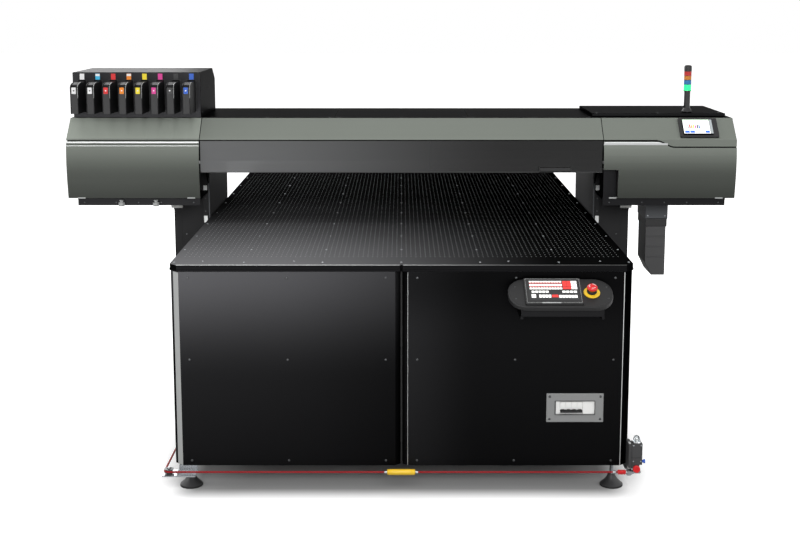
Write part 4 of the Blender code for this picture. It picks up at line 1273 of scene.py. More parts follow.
def beam_and_covers():
    """The beam's finishes, the folded lip along the top cover's front, its joints, and the covers' screws."""
    dress("beam_box", "black_powder_coat", 0.0015)
    dress("top_cover", "black_cover_coat", 0.0008)
    dress("right_top_cover", "black_cover_coat", 0.0022)
    dress("centre_band", "metallic_enamel", 0.001)
    for label, side in SIDES:
        # The left end shell's enamel is drawn brighter: painted light.
        dress(f"{label}_end_shell", "shell_enamel" if side < 0 else "metallic_enamel", 0.001)
        # The lower covers' enamel carries painted shade, darker towards their lower edge.
        dress(f"{label}_lower_cover", "graded_enamel", 0.0012)
    lip = bars(((-0.892, 0.9585, 1.3782), (0.858, 0.97, 1.38)))
    piece("top_cover_lip", lip, "black_cover_coat", "beam", edge=0.0008)
    joints = bars(*(((x - 0.0006, 0.97, 1.3776), (x + 0.0006, 1.484, 1.3784)) for x in COVER_JOINTS))
    piece("top_cover_joints", joints, "dark_bore", "beam")
    places = [facing(x, depth, 1.378) for x in (-0.85, -0.6, -0.32, -0.28, 0, 0.28, 0.32, 0.6, 0.84)
              for depth in (0.985, 1.462)]
    places += [facing(x, 1.4845, height, FACING_BACK) for x in (-0.8, -0.4, 0, 0.4, 0.8)
               for height in (1.21, 1.355)]
    screws("top_cover_screws", places, 0.0044, "beam")
    cap = [facing(x, depth, 1.392) for x in (0.885, 1.16, 1.435) for depth in (1.055, 1.435)]
    screws("raised_cover_screws", cap, 0.004, "beam")
    ends = []
    for _, side in SIDES:
        turn = FACING_RIGHT if side > 0 else FACING_LEFT
        ends += [facing(side * 1.474, depth, height, turn) for depth in (0.975, 1.22, 1.46)
                 for height in SHELL_SCREW_HEIGHTS]
        ends += [facing(side * x, 1.4845, height, FACING_BACK) for x in (1.1, 1.28, 1.45)
                 for height in SHELL_SCREW_HEIGHTS]
    screws("end_shell_screws", ends, 0.0044, "beam")


def band_trim():
    """A strip of painted shade along the slope's lower edge, where it turns under, the seam below it and the
    gaps at the band's ends.
    """
    dark, gaps = bmesh.new(), bmesh.new()
    slope_strip(dark, -0.8872, 0.8872, 0.0, 0.1, 0.0009)
    for side in (-1, 1):
        slope_strip(dark, side * 0.8915, side * 1.4725, 0.0, 0.045, 0.0009)
        slope_strip(gaps, side * 0.8876, side * 0.8904, 0.0, 1.0, -0.0005, 0.002)
    piece("band_low_shadow_strip", dark, "graded_enamel", "beam")
    seam = bars(((-1.472, 0.871, 1.2852), (-0.892, 0.876, 1.2892)),
                ((-0.887, 0.8655, 1.285), (0.887, 0.876, 1.2892)))
    piece("seam_backing", seam, "dark_bore", "beam")
    piece("band_end_gaps", gaps, "dark_bore", "beam")


SEAM_START, SEAM_END, SEAM_DROP = 1.126, 1.2, 0.0272
SEAM_TOP = 1.2876


def seam_height(x, top):
    """The height of the S-shaped seam on the right shell, level on both sides of the bend."""
    share = min(1, max(0, (x - SEAM_START) / (SEAM_END - SEAM_START)))
    return top - SEAM_DROP * share * share * (3 - 2 * share)


def seam_band(shape, xs, top, above, below, depth):
    """A strip along the seam, between a height above it and one below it at each X."""
    upper = [(x, seam_height(x, top) + above(x)) for x in xs]
    lower = [(x, seam_height(x, top) - below(x)) for x in reversed(xs)]
    add_prism(shape, lower + upper, *depth, FRONT_PLANE)


def cover_face(drop):
    """How far back the bulged face of a lower cover is, at a drop from its upper edge."""
    low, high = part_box("left_lower_cover")
    share = drop / (high.z - low.z)
    return 0.8655 + 0.0025 * share - 0.013 * math.sin(math.pi * share ** 0.8)


def cover_painted_highlight(label, side):
    """Painted highlights along a lower cover's rounded top, drawn as bright strips, and the dark line beside
    them.
    """
    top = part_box(f"{label}_lower_cover")[1].z
    bright, dark = bmesh.new(), bmesh.new()
    if side < 0:
        left, right = -1.4725, -0.8915
        add_bar(bright, (left, 0.8632, top - 0.0076), (right, 0.865, top - 0.0008))
        add_bar(dark, (left, cover_face(0.012) - 0.0008, top - 0.0125), (right, 0.865, top - 0.0105))
        add_bar(bright, (left, cover_face(0.019) - 0.0008, top - 0.0205), (right, 0.865, top - 0.018))
    else:
        steps = [0.8915 + (1.4725 - 0.8915) * i / 60 for i in range(61)]
        short = [0.8915 + (SEAM_END - 0.006 - 0.8915) * i / 40 for i in range(41)]
        seam_band(dark, steps, SEAM_TOP, lambda x: 0.001, lambda x: 0.0058, (-0.864, -0.8628))

        def taper(x):
            return 0.008 + 0.011 * (1 - max(0, (x - 1.06) / (SEAM_END - 1.06)) ** 1.5)

        seam_band(bright, short, SEAM_TOP, lambda x: -0.0074, taper, (-0.8649, -0.8636))
    # The bright strips are painted highlights of the cover's rounded top edge.
    piece(f"{label}_cover_bead", bright, "bright_trim", f"{label}_cover")
    piece(f"{label}_cover_seam", dark, "dark_bore", f"{label}_cover")


def cover_fittings():
    """Painted highlights, seam lines, latch tabs, hinges and end stops of the side covers."""
    for label, side in SIDES:
        cover_painted_highlight(label, side)
        tabs = bars(*(((side * x - 0.017, 0.8655, 1.0285), (side * x + 0.017, 0.8672, 1.034))
                      for x in ((1.415, 0.93) if side < 0 else (1.404, 0.935))))
        piece(f"{label}_latch_tabs", tabs, "satin_trim", f"{label}_cover", edge=0.0005)
        knuckles = bmesh.new()
        for x in (0.935, 1.18, 1.43) if side < 0 else (0.935, 1.07):
            add_turned(knuckles, [(0, 0.02), (0.0022, 0.02), (0.0022, -0.02), (0, -0.02)],
                       facing(side * x, 0.868, 1.281, FACING_RIGHT), 12)
        piece(f"{label}_hinge_knuckles", knuckles, "zinc_plated_steel", f"{label}_cover")
        block = bars(((side * 1.01, 1.098, 0.949), (side * 1.062, 1.112, 0.964)))
        piece(f"end_stop_{label}", block, "moulded_white", "gantry", edge=0.002)
        arm = bars(((side * 1.02, 1.11, 0.94), (side * 1.052, 1.1385, 0.95)))
        piece(f"end_stop_arm_{label}", arm, "black_powder_coat", "gantry", edge=0.001)


COVER_HINGES = (-0.8, -0.27, 0.27, 0.8)


def smoked_cover():
    """The centre cover with its ground lower edge, its inner ribs, its hinges and the moulded grip."""
    dress("front_cover", "smoked_sheet", 0.0012)
    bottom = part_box("front_cover")[0].z
    bead = bars(((-0.8855, 0.8646, bottom + 0.0004), (0.606, 0.8662, bottom + 0.003)),
                ((0.7475, 0.8646, bottom + 0.0004), (0.8855, 0.8662, bottom + 0.003)))
    piece("cover_edge_bead", bead, "moulded_dark_grey", "front_cover", edge=0.0004)
    ribs = bars(*(((-0.884, 0.87, height), (0.884, 0.8706, height + 0.0016)) for height in (1.242, 1.208,
                                                                                            1.176)))
    piece("cover_inner_ribs", ribs, "moulded_dark_grey", "front_cover")
    grip = bars(((0.61, 0.849, 1.153), (0.7435, 0.8502, 1.1665)),
                ((0.606, 0.85, 1.1508), (0.6085, 0.866, 1.17)),
                ((0.745, 0.85, 1.1508), (0.7475, 0.866, 1.17)))
    piece("cover_grip_shell", grip, "moulded_abs", "front_cover", edge=0.0012)
    leaves = bars(*(((x - 0.03, 0.8702, 1.26), (x + 0.03, 0.8716, 1.284)) for x in COVER_HINGES))
    piece("cover_hinge_leaves", leaves, "zinc_plated_steel", "front_cover", edge=0.0005)
    places = [facing(x + u, 0.8716, 1.268, FACING_BACK) for x in COVER_HINGES for u in (-0.018, 0.018)]
    screws("cover_hinge_screws", places, 0.0028, "front_cover", "zinc_plated_steel")


def maintenance_trays():
    """The trays under the end housings, with their screws and the two thumb knobs under the left one."""
    for label, side in SIDES:
        dress(f"{label}_tray", "black_powder_coat", 0.0012)
        places = [facing(side * x, 0.8995, 1.006, FACING_FRONT) for x in (0.925, 1.07, 1.17, 1.27, 1.41)]
        screws(f"tray_screws_{label}", places, 0.0034, "beam")
    knobs = bmesh.new()
    for x in (-1.244, -1.091):
        place = facing(x, 0.8895, 0.991)
        add_prism(knobs, fluted(0.014, 0.0009, 32), 0.003, 0.017, place)
        add_turned(knobs, [(0, 0), (0.011, 0), (0.0135, 0.003), (0, 0.003)], place, 32)
        add_turned(knobs, [(0, 0.017), (0.007, 0.017), (0.007, 0.027), (0, 0.027)], place, 20)
        add_bar(knobs, (x - 0.0085, 0.885, 1.015), (x + 0.0085, 0.9005, 1.0185))
    piece("thumb_knobs", knobs, "satin_trim", "beam", edge=0.0005)


def waste_fittings():
    """The bracket's flanges and the bottle's pull, ribs and level window."""
    dress("waste_bottle", "moulded_dark_grey", 0.006)
    low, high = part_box("waste_bottle")
    ribs = bars(*(((low.x + 0.01, 1.0686, height), (high.x - 0.01, 1.0712, height + 0.006))
                  for height in (0.722, 0.77, 0.818)))
    piece("bottle_ribs", ribs, "moulded_dark_grey", "waste_bottle", edge=0.0012)
    window = bars(((high.x - 0.0046, 1.12, 0.7), (high.x - 0.003, 1.136, 0.86)))
    piece("bottle_level_window", window, "clear_polycarbonate", "waste_bottle", edge=0.0006)
    pull = bars(((1.122, 1.066, 0.87), (1.2185, 1.0684, 0.899)))
    piece("bottle_pull", pull, "moulded_abs", "waste_bottle", edge=0.001)
    flanges = bars(((1.1185, 1.063, 0.906), (1.2215, 1.0652, 1.016)),
                   ((1.1185, 1.063, 0.9032), (1.12, 1.256, 1.016)),
                   ((1.2202, 1.063, 0.9032), (1.2217, 1.256, 1.016)))
    piece("waste_bracket_shell", flanges, "graphite_coat", "beam", edge=0.0006)
    places = [facing(x, 1.063, z, FACING_FRONT) for x in (1.131, 1.209) for z in (0.918, 1.004)]
    screws("waste_bracket_screws", places, 0.0034, "beam", "zinc_plated_steel")


# ---------------------------------------------------------------- ink supply


CHEEK_BACK = 0.06
CHEEK_DROP = 0.02
SLOT_COLOURS = ("label_white", "label_cyan", "label_red", "label_orange", "label_yellow", "label_magenta",
                "label_black", "label_blue")


def ink_box():
    """The box, its slot frames, screws and vents, and the label over each slot."""
    dress("ink_box", "ink_box_coat", 0.0022)
    low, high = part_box("ink_box")
    slots = []
    for number, ink in enumerate(SLOT_COLOURS, start=1):
        tray_low, tray_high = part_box(f"ink_tray_{number}")
        x = (tray_low.x + tray_high.x) / 2
        shape = bmesh.new()
        place = local(x + 0.001, low.y, 1.56, FACING_FRONT)
        add_prism(shape, rounded(0.01, 0.014, 0.001, 2), 0.0002, 0.001, place)
        piece(f"slot_label_{number}", shape, ink, "beam")
        if number in (2, 4):
            shape = drawn(add_prism, rounded(0.0096, 0.005, 0.001, 2), 0.001, 0.0012,
                          place @ local(0, 0.0082, 0))
            piece(f"slot_label_{number}_field", shape, "label_white", "beam")
        slots.append(x)
    frames = bmesh.new()
    for x in slots:
        place = local(x, low.y, 1.474, FACING_FRONT)
        add_plate_ring(frames, rounded(0.0215, 0.0735, 0.003, 3), rounded(0.0185, 0.0705, 0.002, 3), 0.0,
                       0.0016, place)
    piece("slot_frames", frames, "moulded_abs", "beam", edge=0.0004)
    places = [facing(x, depth, z, turn) for x, turn in ((low.x, FACING_LEFT), (high.x, FACING_RIGHT))
              for depth in (1.0, 1.2, 1.38) for z in (1.4, 1.5)]
    places += [local(x, high.y, z, FACING_BACK) for x in (-1.43, -1.18, -0.92) for z in (1.4, 1.51)]
    screws("ink_box_screws", places, 0.0036, "beam")
    vents = bmesh.new()
    for row in range(6):
        for x in (-1.3, -1.06):
            place = local(x, high.y, 1.425 + row * 0.013, FACING_BACK)
            add_prism(vents, rounded(0.055, 0.0022, 0.0021, 4), 0.0002, 0.0008, place)
    piece("ink_box_vents", vents, "dark_bore", "beam")


def ink_tray(number, ink):
    """One pull-out tray: cheeks with a curved top front corner, a sunk front and a label."""
    body = f"ink_tray_{number}"
    low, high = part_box(body)
    half, tall, long = (high.x - low.x) / 2, high.z - low.z, high.y - low.y
    x = (low.x + high.x) / 2
    curve = []
    for step in range(11):
        turn = math.pi / 2 * step / 10
        curve.append((CHEEK_BACK * (1 - math.cos(turn)), tall - CHEEK_DROP * (1 - math.sin(turn))))
    cheek = [(0.004, 0), (long, 0), (long, tall), *reversed(curve), (0, 0.004)]
    core = [(0.014, 0.001), (long - 0.001, 0.001), (long - 0.001, tall - 0.001), (CHEEK_BACK, tall - 0.001),
            (0.022, tall - 0.008), (0.014, tall - 0.016)]
    place = local(x, low.y, low.z, SIDE_VIEW)
    shell, front = bmesh.new(), bmesh.new()
    for left, right in ((-half, 0.0025 - half), (half - 0.0025, half)):
        add_prism(shell, cheek, left, right, place)
    inner = half - 0.0024
    add_prism(shell, core, -inner, inner, place)
    plate = [(0.002, 0.001), (0.0145, 0.001), (0.0145, tall - 0.02), (0.002, tall - 0.022)]
    add_prism(front, plate, -inner, inner, place)
    for left, right in ((-inner, 0.0012 - inner), (inner - 0.0012, inner)):
        rib = [(0.0006, 0.01), (0.0024, 0.01), (0.0024, tall - 0.06), (0.0006, tall - 0.062)]
        add_prism(front, rib, left, right, place)
    piece(f"{body}_shell", shell, "tray_abs", body, edge=0.0008, replaces=[body])
    piece(f"{body}_front", front, "moulded_abs", body, edge=0.0006)
    label, mark = bmesh.new(), bmesh.new()
    spot = local(x - 0.001, low.y + 0.0018, low.z + 0.102, FACING_FRONT)
    add_prism(label, rounded(0.0092, 0.0138, 0.001, 2), 0, 0.0008, spot)
    add_prism(mark, rounded(0.0032, 0.0026, 0.0006, 2), 0.0008, 0.001, spot)
    light = ink in ("label_white", "label_cyan")
    piece(f"{body}_label", label, "label_white" if light else ink, body)
    piece(f"{body}_label_mark", mark, "label_black" if light else "label_white", body)
    # A pale tube along the right cheek's front edge and curved top: a painted highlight of that edge.
    cheek_highlight = bmesh.new()
    edge_x = x + half - 0.001
    route = [Vector((edge_x, low.y - 0.0002, low.z + 0.07))]
    route += [Vector((edge_x, low.y + u - 0.0002, low.z + v + 0.0002)) for u, v in curve]
    add_tube(cheek_highlight, route, 0.0009, 8)
    piece(f"{body}_light_guide", cheek_highlight, "satin_trim", body)


def ink_trays():
    """The eight pull-out trays, from the left."""
    for number, ink in enumerate(SLOT_COLOURS, start=1):
        ink_tray(number, ink)


# ---------------------------------------------------------------- touch panel and stack light


def touch_panel():
    """The bezel, its glass, the display's bar chart of ink levels and its buttons."""
    dress("touch_panel", "glossy_abs", 0.0014)
    low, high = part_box("touch_panel")
    x = (low.x + high.x) / 2
    share, lift = 0.5, 0.0153
    shape = drawn(add_prism, rounded(0.066, 0.042, 0.002), 0, 0.0004, on_slope(x - 0.004, share, lift))
    piece("touch_glass", shape, "display_black", "beam")
    place = on_slope(x - 0.004, share, lift + 0.0004)

    def patch(name, ink, blocks, lift=0.0):
        shape = bmesh.new()
        for left, low_edge, right, high_edge in blocks:
            add_prism(shape, box_outline(left, low_edge, right, high_edge), lift, lift + 0.0002, place)
        piece(name, shape, ink, "beam")

    patch("touch_page", "display_white", [(-0.064, -0.04, 0.052, 0.04)])
    patch("touch_top_bar", "display_pale_green", [(-0.064, 0.03, 0.052, 0.04)], 0.0002)
    patch("touch_side_bar", "display_grey", [(0.0535, -0.04, 0.064, 0.04)])
    inks = ("grey", "red", "orange", "yellow", "magenta", "black", "blue")
    levels = (0.022, 0.024, 0.02, 0.023, 0.018, 0.024, 0.021)
    for number, (ink, level) in enumerate(zip(inks, levels)):
        left = -0.046 + number * 0.0082
        patch(f"touch_level_{number + 1}", f"display_{ink}", [(left, -0.012, left + 0.0052, -0.012 + level)],
              0.0002)
    patch("touch_buttons", "display_blue", [(-0.06, -0.037, -0.04, -0.024), (-0.037, -0.037, -0.017, -0.024),
                                            (0.03, -0.037, 0.049, -0.024)], 0.0002)
    patch("touch_lines", "display_grey", [(0.02, 0.014, 0.046, 0.017), (0.02, 0.006, 0.046, 0.009),
                                          (0.02, -0.002, 0.046, 0.001)], 0.0002)


def cover_label():
    """The bare silver strip on the right shell, over the seam."""
    shape = drawn(add_prism, rounded(0.14, 0.0055, 0.002), 0, 0.0008,
                  facing(1.03, 0.8628, 1.27, FACING_FRONT))
    piece("cover_label_strip", shape, "label_silver", "right_cover")


def stack_light():
    """The tapered foot, the pole, four lens rings between dark rims and the cap."""
    low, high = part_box("stack_light")
    x, y = (low.x + high.x) / 2, (low.y + high.y) / 2
    place = local(x, y, 0)
    shape = drawn(add_turned, [(0, 1.4095), (0.0148, 1.4095), (0.016, 1.408), (0.0185, 1.4035),
                               (0.022, 1.3985), (0.023, 1.3955), (0.023, low.z), (0, low.z)], place, 36)
    piece("stack_foot", shape, "moulded_abs", "beam", replaces=["stack_light"])
    shape = drawn(add_turned, [(0, 1.486), (0.0142, 1.486), (0.0142, 1.409), (0, 1.409)], place, 28)
    piece("stack_pole", shape, "glossy_abs", "beam")
    rims = bmesh.new()
    add_turned(rims, [(0, 1.489), (0.0175, 1.4885), (0.0177, 1.4862), (0.0148, 1.485), (0, 1.485)], place, 32)
    for colour, base, top in (("green", 1.488, 1.515), ("blue", 1.5165, 1.536), ("amber", 1.5375, 1.5545),
                              ("red", 1.556, 1.575)):
        lens = bmesh.new()
        profile = [(0, top), (0.0163, top), (0.0172, top - 0.001)]
        count = 5
        step = (top - base - 0.002) / count
        for i in range(count):
            profile += [(0.0172, top - 0.001 - step * i), (0.0167, top - 0.001 - step * (i + 0.5))]
        add_turned(lens, [*profile, (0.0172, base + 0.001), (0.0163, base), (0, base)], place, 32)
        piece(f"stack_lens_{colour}", lens, f"lens_{colour}", "beam")
        add_turned(rims, [(0, top + 0.0015), (0.0165, top + 0.0015), (0.0165, top), (0, top)], place, 32)
    piece("stack_rims", rims, "moulded_abs", "beam")
    shape = drawn(add_turned, [(0, 1.604), (0.01, 1.6036), (0.0145, 1.602), (0.0166, 1.599), (0.0172, 1.596),
                               (0.0172, 1.5765), (0, 1.5765)], place, 32)
    piece("stack_cap", shape, "moulded_abs", "beam")


# ---------------------------------------------------------------- carriage and capping station


def print_carriage():
    """What the smoked cover hides: the carriage with its heads, lamps, ink lines and rail, and the caps."""
    dress("carriage", "moulded_abs", 0.003)
    dress("capping_station", "moulded_mid_grey", 0.002)
    low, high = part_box("carriage")
    front = low.y - FRONT
    lamps = bmesh.new()
    for x0, x1 in ((low.x, low.x + 0.045), (high.x - 0.045, high.x)):
        for row in range(7):
            add_bar(lamps, (x0 + 0.004, front - 0.003, 1.175 + row * 0.013),
                    (x1 - 0.004, front + 0.0005, 1.182 + row * 0.013))
    piece("uv_lamp_fins", lamps, "cast_aluminium", "carriage", edge=0.0006)
    heads = bmesh.new()
    for i in range(4):
        x = low.x + 0.075 + i * 0.054
        add_bar(heads, (x - 0.016, front + 0.01, low.z - 0.004), (x + 0.016, front + 0.086, low.z + 0.0005))
    piece("print_heads", heads, "ground_steel", "carriage", edge=0.0008)
    shape = drawn(add_prism, rounded(0.118, 0.048, 0.006), 0, 0.0025,
                  facing((low.x + high.x) / 2, front, 1.222, FACING_FRONT))
    piece("carriage_front_plate", shape, "moulded_dark_grey", "carriage", edge=0.001)
    lines = bmesh.new()
    for i in range(8):
        x = low.x + 0.07 + i * 0.026
        route = [at(x, 0.95, 1.3348), at(x, 0.952, 1.342), at(x + 0.006, 0.957, 1.348),
                 at(x + 0.016, 0.962, 1.35)]
        add_tube(lines, route, 0.003, 10)
    piece("ink_line_stubs", lines, "black_rubber", "carriage")
    shape = bars(((low.x + 0.04, 0.9885, 1.286), (low.x + 0.12, 0.995, 1.318)),
                 ((high.x - 0.12, 0.9885, 1.286), (high.x - 0.04, 0.995, 1.318)))
    piece("carriage_bearings", shape, "ground_steel", "carriage", edge=0.0008)
    shape = bars(((-1.39, 0.9952, 1.2925), (1.39, 0.9962, 1.3115)))
    piece("carriage_rail_face", shape, "ground_steel", "beam", edge=0.0003)
    piece("carriage_belt", bars(((-1.38, 0.9985, 1.232), (1.38, 1.001, 1.248))), "black_rubber", "beam")
    cap_low, cap_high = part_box("capping_station")
    caps = bmesh.new()
    for i in range(4):
        x = low.x + 0.075 + i * 0.054
        if cap_low.x + 0.02 < x < cap_high.x - 0.02:
            add_plate_ring(caps, rounded(0.018, 0.04, 0.004), rounded(0.014, 0.036, 0.003), 0, 0.006,
                           facing(x, 0.9385, cap_high.z))
    piece("head_caps", caps, "black_rubber", "beam", edge=0.0006)


# ---------------------------------------------------------------- studio


SHEEN_PATCH = (-2.3, -3.4, 0)
SHADOW_REACH = 0.45
UNDER_SHADE = 0.35


def seen_rays(tree):
    """1 for a ray from the camera or by way of a mirror or a clear sheet, and the light path itself."""
    path = node(tree, "LightPath")
    mirror = node(tree, "Math", {"operation": "MAXIMUM"}, {
        0: path.outputs["Is Glossy Ray"], 1: path.outputs["Is Transmission Ray"],
    })
    return node(tree, "Math", {"operation": "MAXIMUM"}, {0: path.outputs["Is Camera Ray"],
                                                         1: mirror.outputs[0]}), path


def studio_floor():
    """A pale floor that keeps its shadows and otherwise reads as the same white as the room."""
    size = bpy.context.scene.printer_sizes.floor_half
    shape = bmesh.new()
    add_faces(shape, [(-size, -size, 0), (size, -size, 0), (size, size, 0), (-size, size, 0)], [(0, 1, 2, 3)])
    mesh = bpy.data.meshes.new("studio_floor")
    shape.to_mesh(mesh)
    shape.free()
    floor = bpy.data.objects.new("studio_floor", mesh)
    bpy.context.scene.collection.objects.link(floor)
    made = bpy.data.materials.new("matt_white_floor")
    made.use_nodes = True
    tree = made.node_tree
    tree.nodes.clear()
    seen, path = seen_rays(tree)
    # Away from the machine the lamps fade, so the floor glows there to stay as white as the room.
    place = node(tree, "TexCoord").outputs["Object"]
    reach = node(tree, "VectorMath", {"operation": "LENGTH"}, {0: place})
    fade = node(tree, "MapRange", {"interpolation_type": "SMOOTHSTEP", "From Min": 1.5, "From Max": 6.0,
                                   "To Min": 0.1, "To Max": 1.0}, {"Value": reach.outputs["Value"]})
    # A bright patch of floor at the front left, mirrored as the soft sheen on the cabinet's upper corner.
    away = node(tree, "VectorMath", {"operation": "DISTANCE", 1: at(*SHEEN_PATCH)}, {0: place})
    patch = node(tree, "MapRange", {"interpolation_type": "SMOOTHSTEP", "From Min": 0.4, "From Max": 2.6,
                                    "To Min": 7.0, "To Max": 0.0}, {"Value": away.outputs["Value"]})
    mirrored = node(tree, "Math", {"operation": "ADD"}, {0: fade.outputs["Result"],
                                                         1: patch.outputs["Result"]})
    # Seen straight, the shadow stays under the machine and just round it.
    footprint = (0.8, TABLE_LENGTH / 2 - 0.06, 0)
    centre = (0, FRONT + TABLE_LENGTH / 2, 0)
    from_centre = node(tree, "VectorMath", {"operation": "SUBTRACT", 1: centre}, {0: place})
    folded = node(tree, "VectorMath", {"operation": "ABSOLUTE"}, {0: from_centre.outputs["Vector"]})
    past = node(tree, "VectorMath", {"operation": "SUBTRACT", 1: footprint}, {0: folded.outputs["Vector"]})
    outside = node(tree, "VectorMath", {"operation": "MAXIMUM", 1: (0, 0, 0)}, {0: past.outputs["Vector"]})
    distance = node(tree, "VectorMath", {"operation": "LENGTH"}, {0: outside.outputs["Vector"]})
    near = node(tree, "MapRange", {"interpolation_type": "SMOOTHSTEP", "From Min": 0.0,
                                   "From Max": SHADOW_REACH, "To Min": 0.0, "To Max": 0.95},
                {"Value": distance.outputs["Value"]})
    strength = node(tree, "Mix", {"data_type": "FLOAT"}, {
        0: path.outputs["Is Camera Ray"], 2: mirrored.outputs[0], 3: near.outputs["Result"],
    })
    colour = coloured(bpy.context.scene.printer_colours.floor)
    # Under the machine the floor's colour is darkened: painted shade, deeper than the lamps alone would leave
    # it.
    painted_floor_shade = node(tree, "MapRange", {"From Min": 0.0, "From Max": 0.1, "To Min": UNDER_SHADE, "To Max": 1.0},
                {"Value": distance.outputs["Value"]})
    tone = node(tree, "Mix", {"data_type": "RGBA", "blend_type": "MULTIPLY", 0: 1.0, 6: colour}, {
        7: painted_floor_shade.outputs["Result"],
    })
    paint = node(tree, "BsdfDiffuse", {"Roughness": 0.9}, {"Color": tone.outputs[2]})
    glow = node(tree, "Emission", {"Color": (1, 1, 1, 1)}, {"Strength": strength.outputs[0]})
    shown = node(tree, "AddShader", (), {0: paint.outputs[0], 1: glow.outputs[0]})
    quiet = node(tree, "BsdfDiffuse", {"Color": (0.3, 0.3, 0.3, 1), "Roughness": 0.9})
    total = node(tree, "MixShader", (), {0: seen.outputs[0], 1: quiet.outputs[0], 2: shown.outputs[0]})
    node(tree, "OutputMaterial", (), {"Surface": total.outputs[0]})
    mesh.materials.append(made)


def studio_room():
    """White wherever it is seen or mirrored, and a quieter grey as light, so that colours stay as written."""
    world = bpy.data.worlds.new("studio_room")
    world.use_nodes = True
    tree = world.node_tree
    tree.nodes.clear()
    seen, _ = seen_rays(tree)
    strength = node(tree, "Mix", {"data_type": "FLOAT", 2: 0.27, 3: 1.0}, {0: seen.outputs[0]})
    light = node(tree, "Background", {"Color": (1, 1, 1, 1)}, {"Strength": strength.outputs[0]})
    node(tree, "OutputWorld", (), {"Surface": light.outputs[0]})
    bpy.context.scene.world = world


def softbox(name, place, target, width, height, watts):
    """A rectangular lamp that faces a target."""
    lamp = bpy.data.lights.new(name, "AREA")
    lamp.shape = "RECTANGLE"
    lamp.size = width
    lamp.size_y = height
    lamp.energy = watts
    obj = bpy.data.objects.new(name, lamp)
    bpy.context.scene.collection.objects.link(obj)
    obj.location = place
    obj.visible_camera = False
    obj.rotation_euler = (Vector(target) - Vector(place)).to_track_quat("-Z", "Y").to_euler()


def studio_lamps():
    """Five soft boxes: above, in front, at both sides and behind."""
    middle = (0, FRONT + 0.8, 0.8)
    softbox("key_softbox", (-0.8, FRONT - 0.5, 5.6), (0, FRONT + 0.9, 1.0), 4.5, 2.2, 60)
    softbox("front_softbox", (0.3, FRONT - 5.6, 3.2), middle, 3.6, 2.4, 230)
    softbox("side_softbox", (-5.0, FRONT - 0.5, 2.6), middle, 2.4, 2.0, 70)
    softbox("fill_softbox", (4.6, FRONT - 2.0, 3.0), middle, 3.0, 2.2, 60)
    softbox("rear_softbox", (-3.0, FRONT + 5.0, 4.0), (-0.6, FRONT, 0.9), 3.4, 4.4, 260)


CAMERA_BACK = 4.7402
CAMERA_HEIGHT = 1.8943
CAMERA_DROP = math.radians(8.954)
CAMERA_LENS = 57.69
CAMERA_SHIFT = (-0.0018, -0.08)


def studio_camera():
    """The camera, which stands in front of the table's middle and looks slightly down."""
    camera = bpy.data.cameras.new("studio_camera")
    camera.lens = CAMERA_LENS
    camera.sensor_width = 36
    camera.shift_x, camera.shift_y = CAMERA_SHIFT
    obj = bpy.data.objects.new("studio_camera", camera)
    bpy.context.scene.collection.objects.link(obj)
    obj.location = at(0, -CAMERA_BACK, CAMERA_HEIGHT)
    obj.rotation_euler = (math.pi / 2 - CAMERA_DROP, 0, 0)
    bpy.context.scene.camera = obj
    bpy.context.scene.view_settings.view_transform = "Standard"


# ---------------------------------------------------------------- operators


def run(*makers):
    """Runs the makers of an operator's pieces in order."""
    for maker in makers:
        maker()
    return {"FINISHED"}


class PRINTER_OT_stage(Operator):
    """Lay the studio floor, hang the lamps and place the camera"""
    bl_idname = "printer.stage"
    bl_label = "Studio"

    def execute(self, context):
        return run(studio_floor, studio_room, studio_lamps, studio_camera)


class PRINTER_OT_table_plate(Operator):
    """Build the drilled vacuum plate, its edge band and its screws"""
    bl_idname = "printer.table_plate"
    bl_label = "Table Plate"

    def execute(self, context):
        return run(plate_core, drilled_skin, hole_rims_and_bores, edge_band, table_screws)


class PRINTER_OT_cabinet(Operator):
    """Finish the cabinet's panels and frame, and add their screws and joint strips"""
    bl_idname = "printer.cabinet"
    bl_label = "Cabinet"

    def execute(self, context):
        return run(cabinet_panels, corner_painted_light, groove_backing, cabinet_screws, side_panel_joints)


class PRINTER_OT_side_rails(Operator):
    """Finish the side rails and add their buffers and screws"""
    bl_idname = "printer.side_rails"
    bl_label = "Side Rails"

    def execute(self, context):
        return run(side_rails, rail_stops)


class PRINTER_OT_rear_fittings(Operator):
    """Add the rear panel's louvres, inlets and plates"""
    bl_idname = "printer.rear_fittings"
    bl_label = "Rear Fittings"

    def execute(self, context):
        return run(rear_fittings)


class PRINTER_OT_blower(Operator):
    """Finish the blower and add its fins, terminal box and ports"""
    bl_idname = "printer.blower"
    bl_label = "Vacuum Blower"

    def execute(self, context):
        return run(blower_detail)


class PRINTER_OT_feet(Operator):
    """Build the six levelling feet with their plates and nuts"""
    bl_idname = "printer.feet"
    bl_label = "Levelling Feet"

    def execute(self, context):
        return run(levelling_feet)


class PRINTER_OT_safety_rope(Operator):
    """Build the safety rope, its sleeve, its tensioner and its corner pulley"""
    bl_idname = "printer.safety_rope"
    bl_label = "Safety Rope"

    def execute(self, context):
        return run(rope_run, rope_sleeve, rope_tensioner, corner_pulley)


class PRINTER_OT_rope_switch(Operator):
    """Finish the rope switch and build its lamp, button and reset knob"""
    bl_idname = "printer.rope_switch"
    bl_label = "Rope Switch"

    def execute(self, context):
        return run(rope_switch)


class PRINTER_OT_control_desk(Operator):
    """Finish the sloped desk and build its screen"""
    bl_idname = "printer.control_desk"
    bl_label = "Control Desk"

    def execute(self, context):
        return run(control_desk)


class PRINTER_OT_emergency_stop(Operator):
    """Build the emergency stop's collar, head and arrows"""
    bl_idname = "printer.emergency_stop"
    bl_label = "Emergency Stop"

    def execute(self, context):
        return run(emergency_stop)


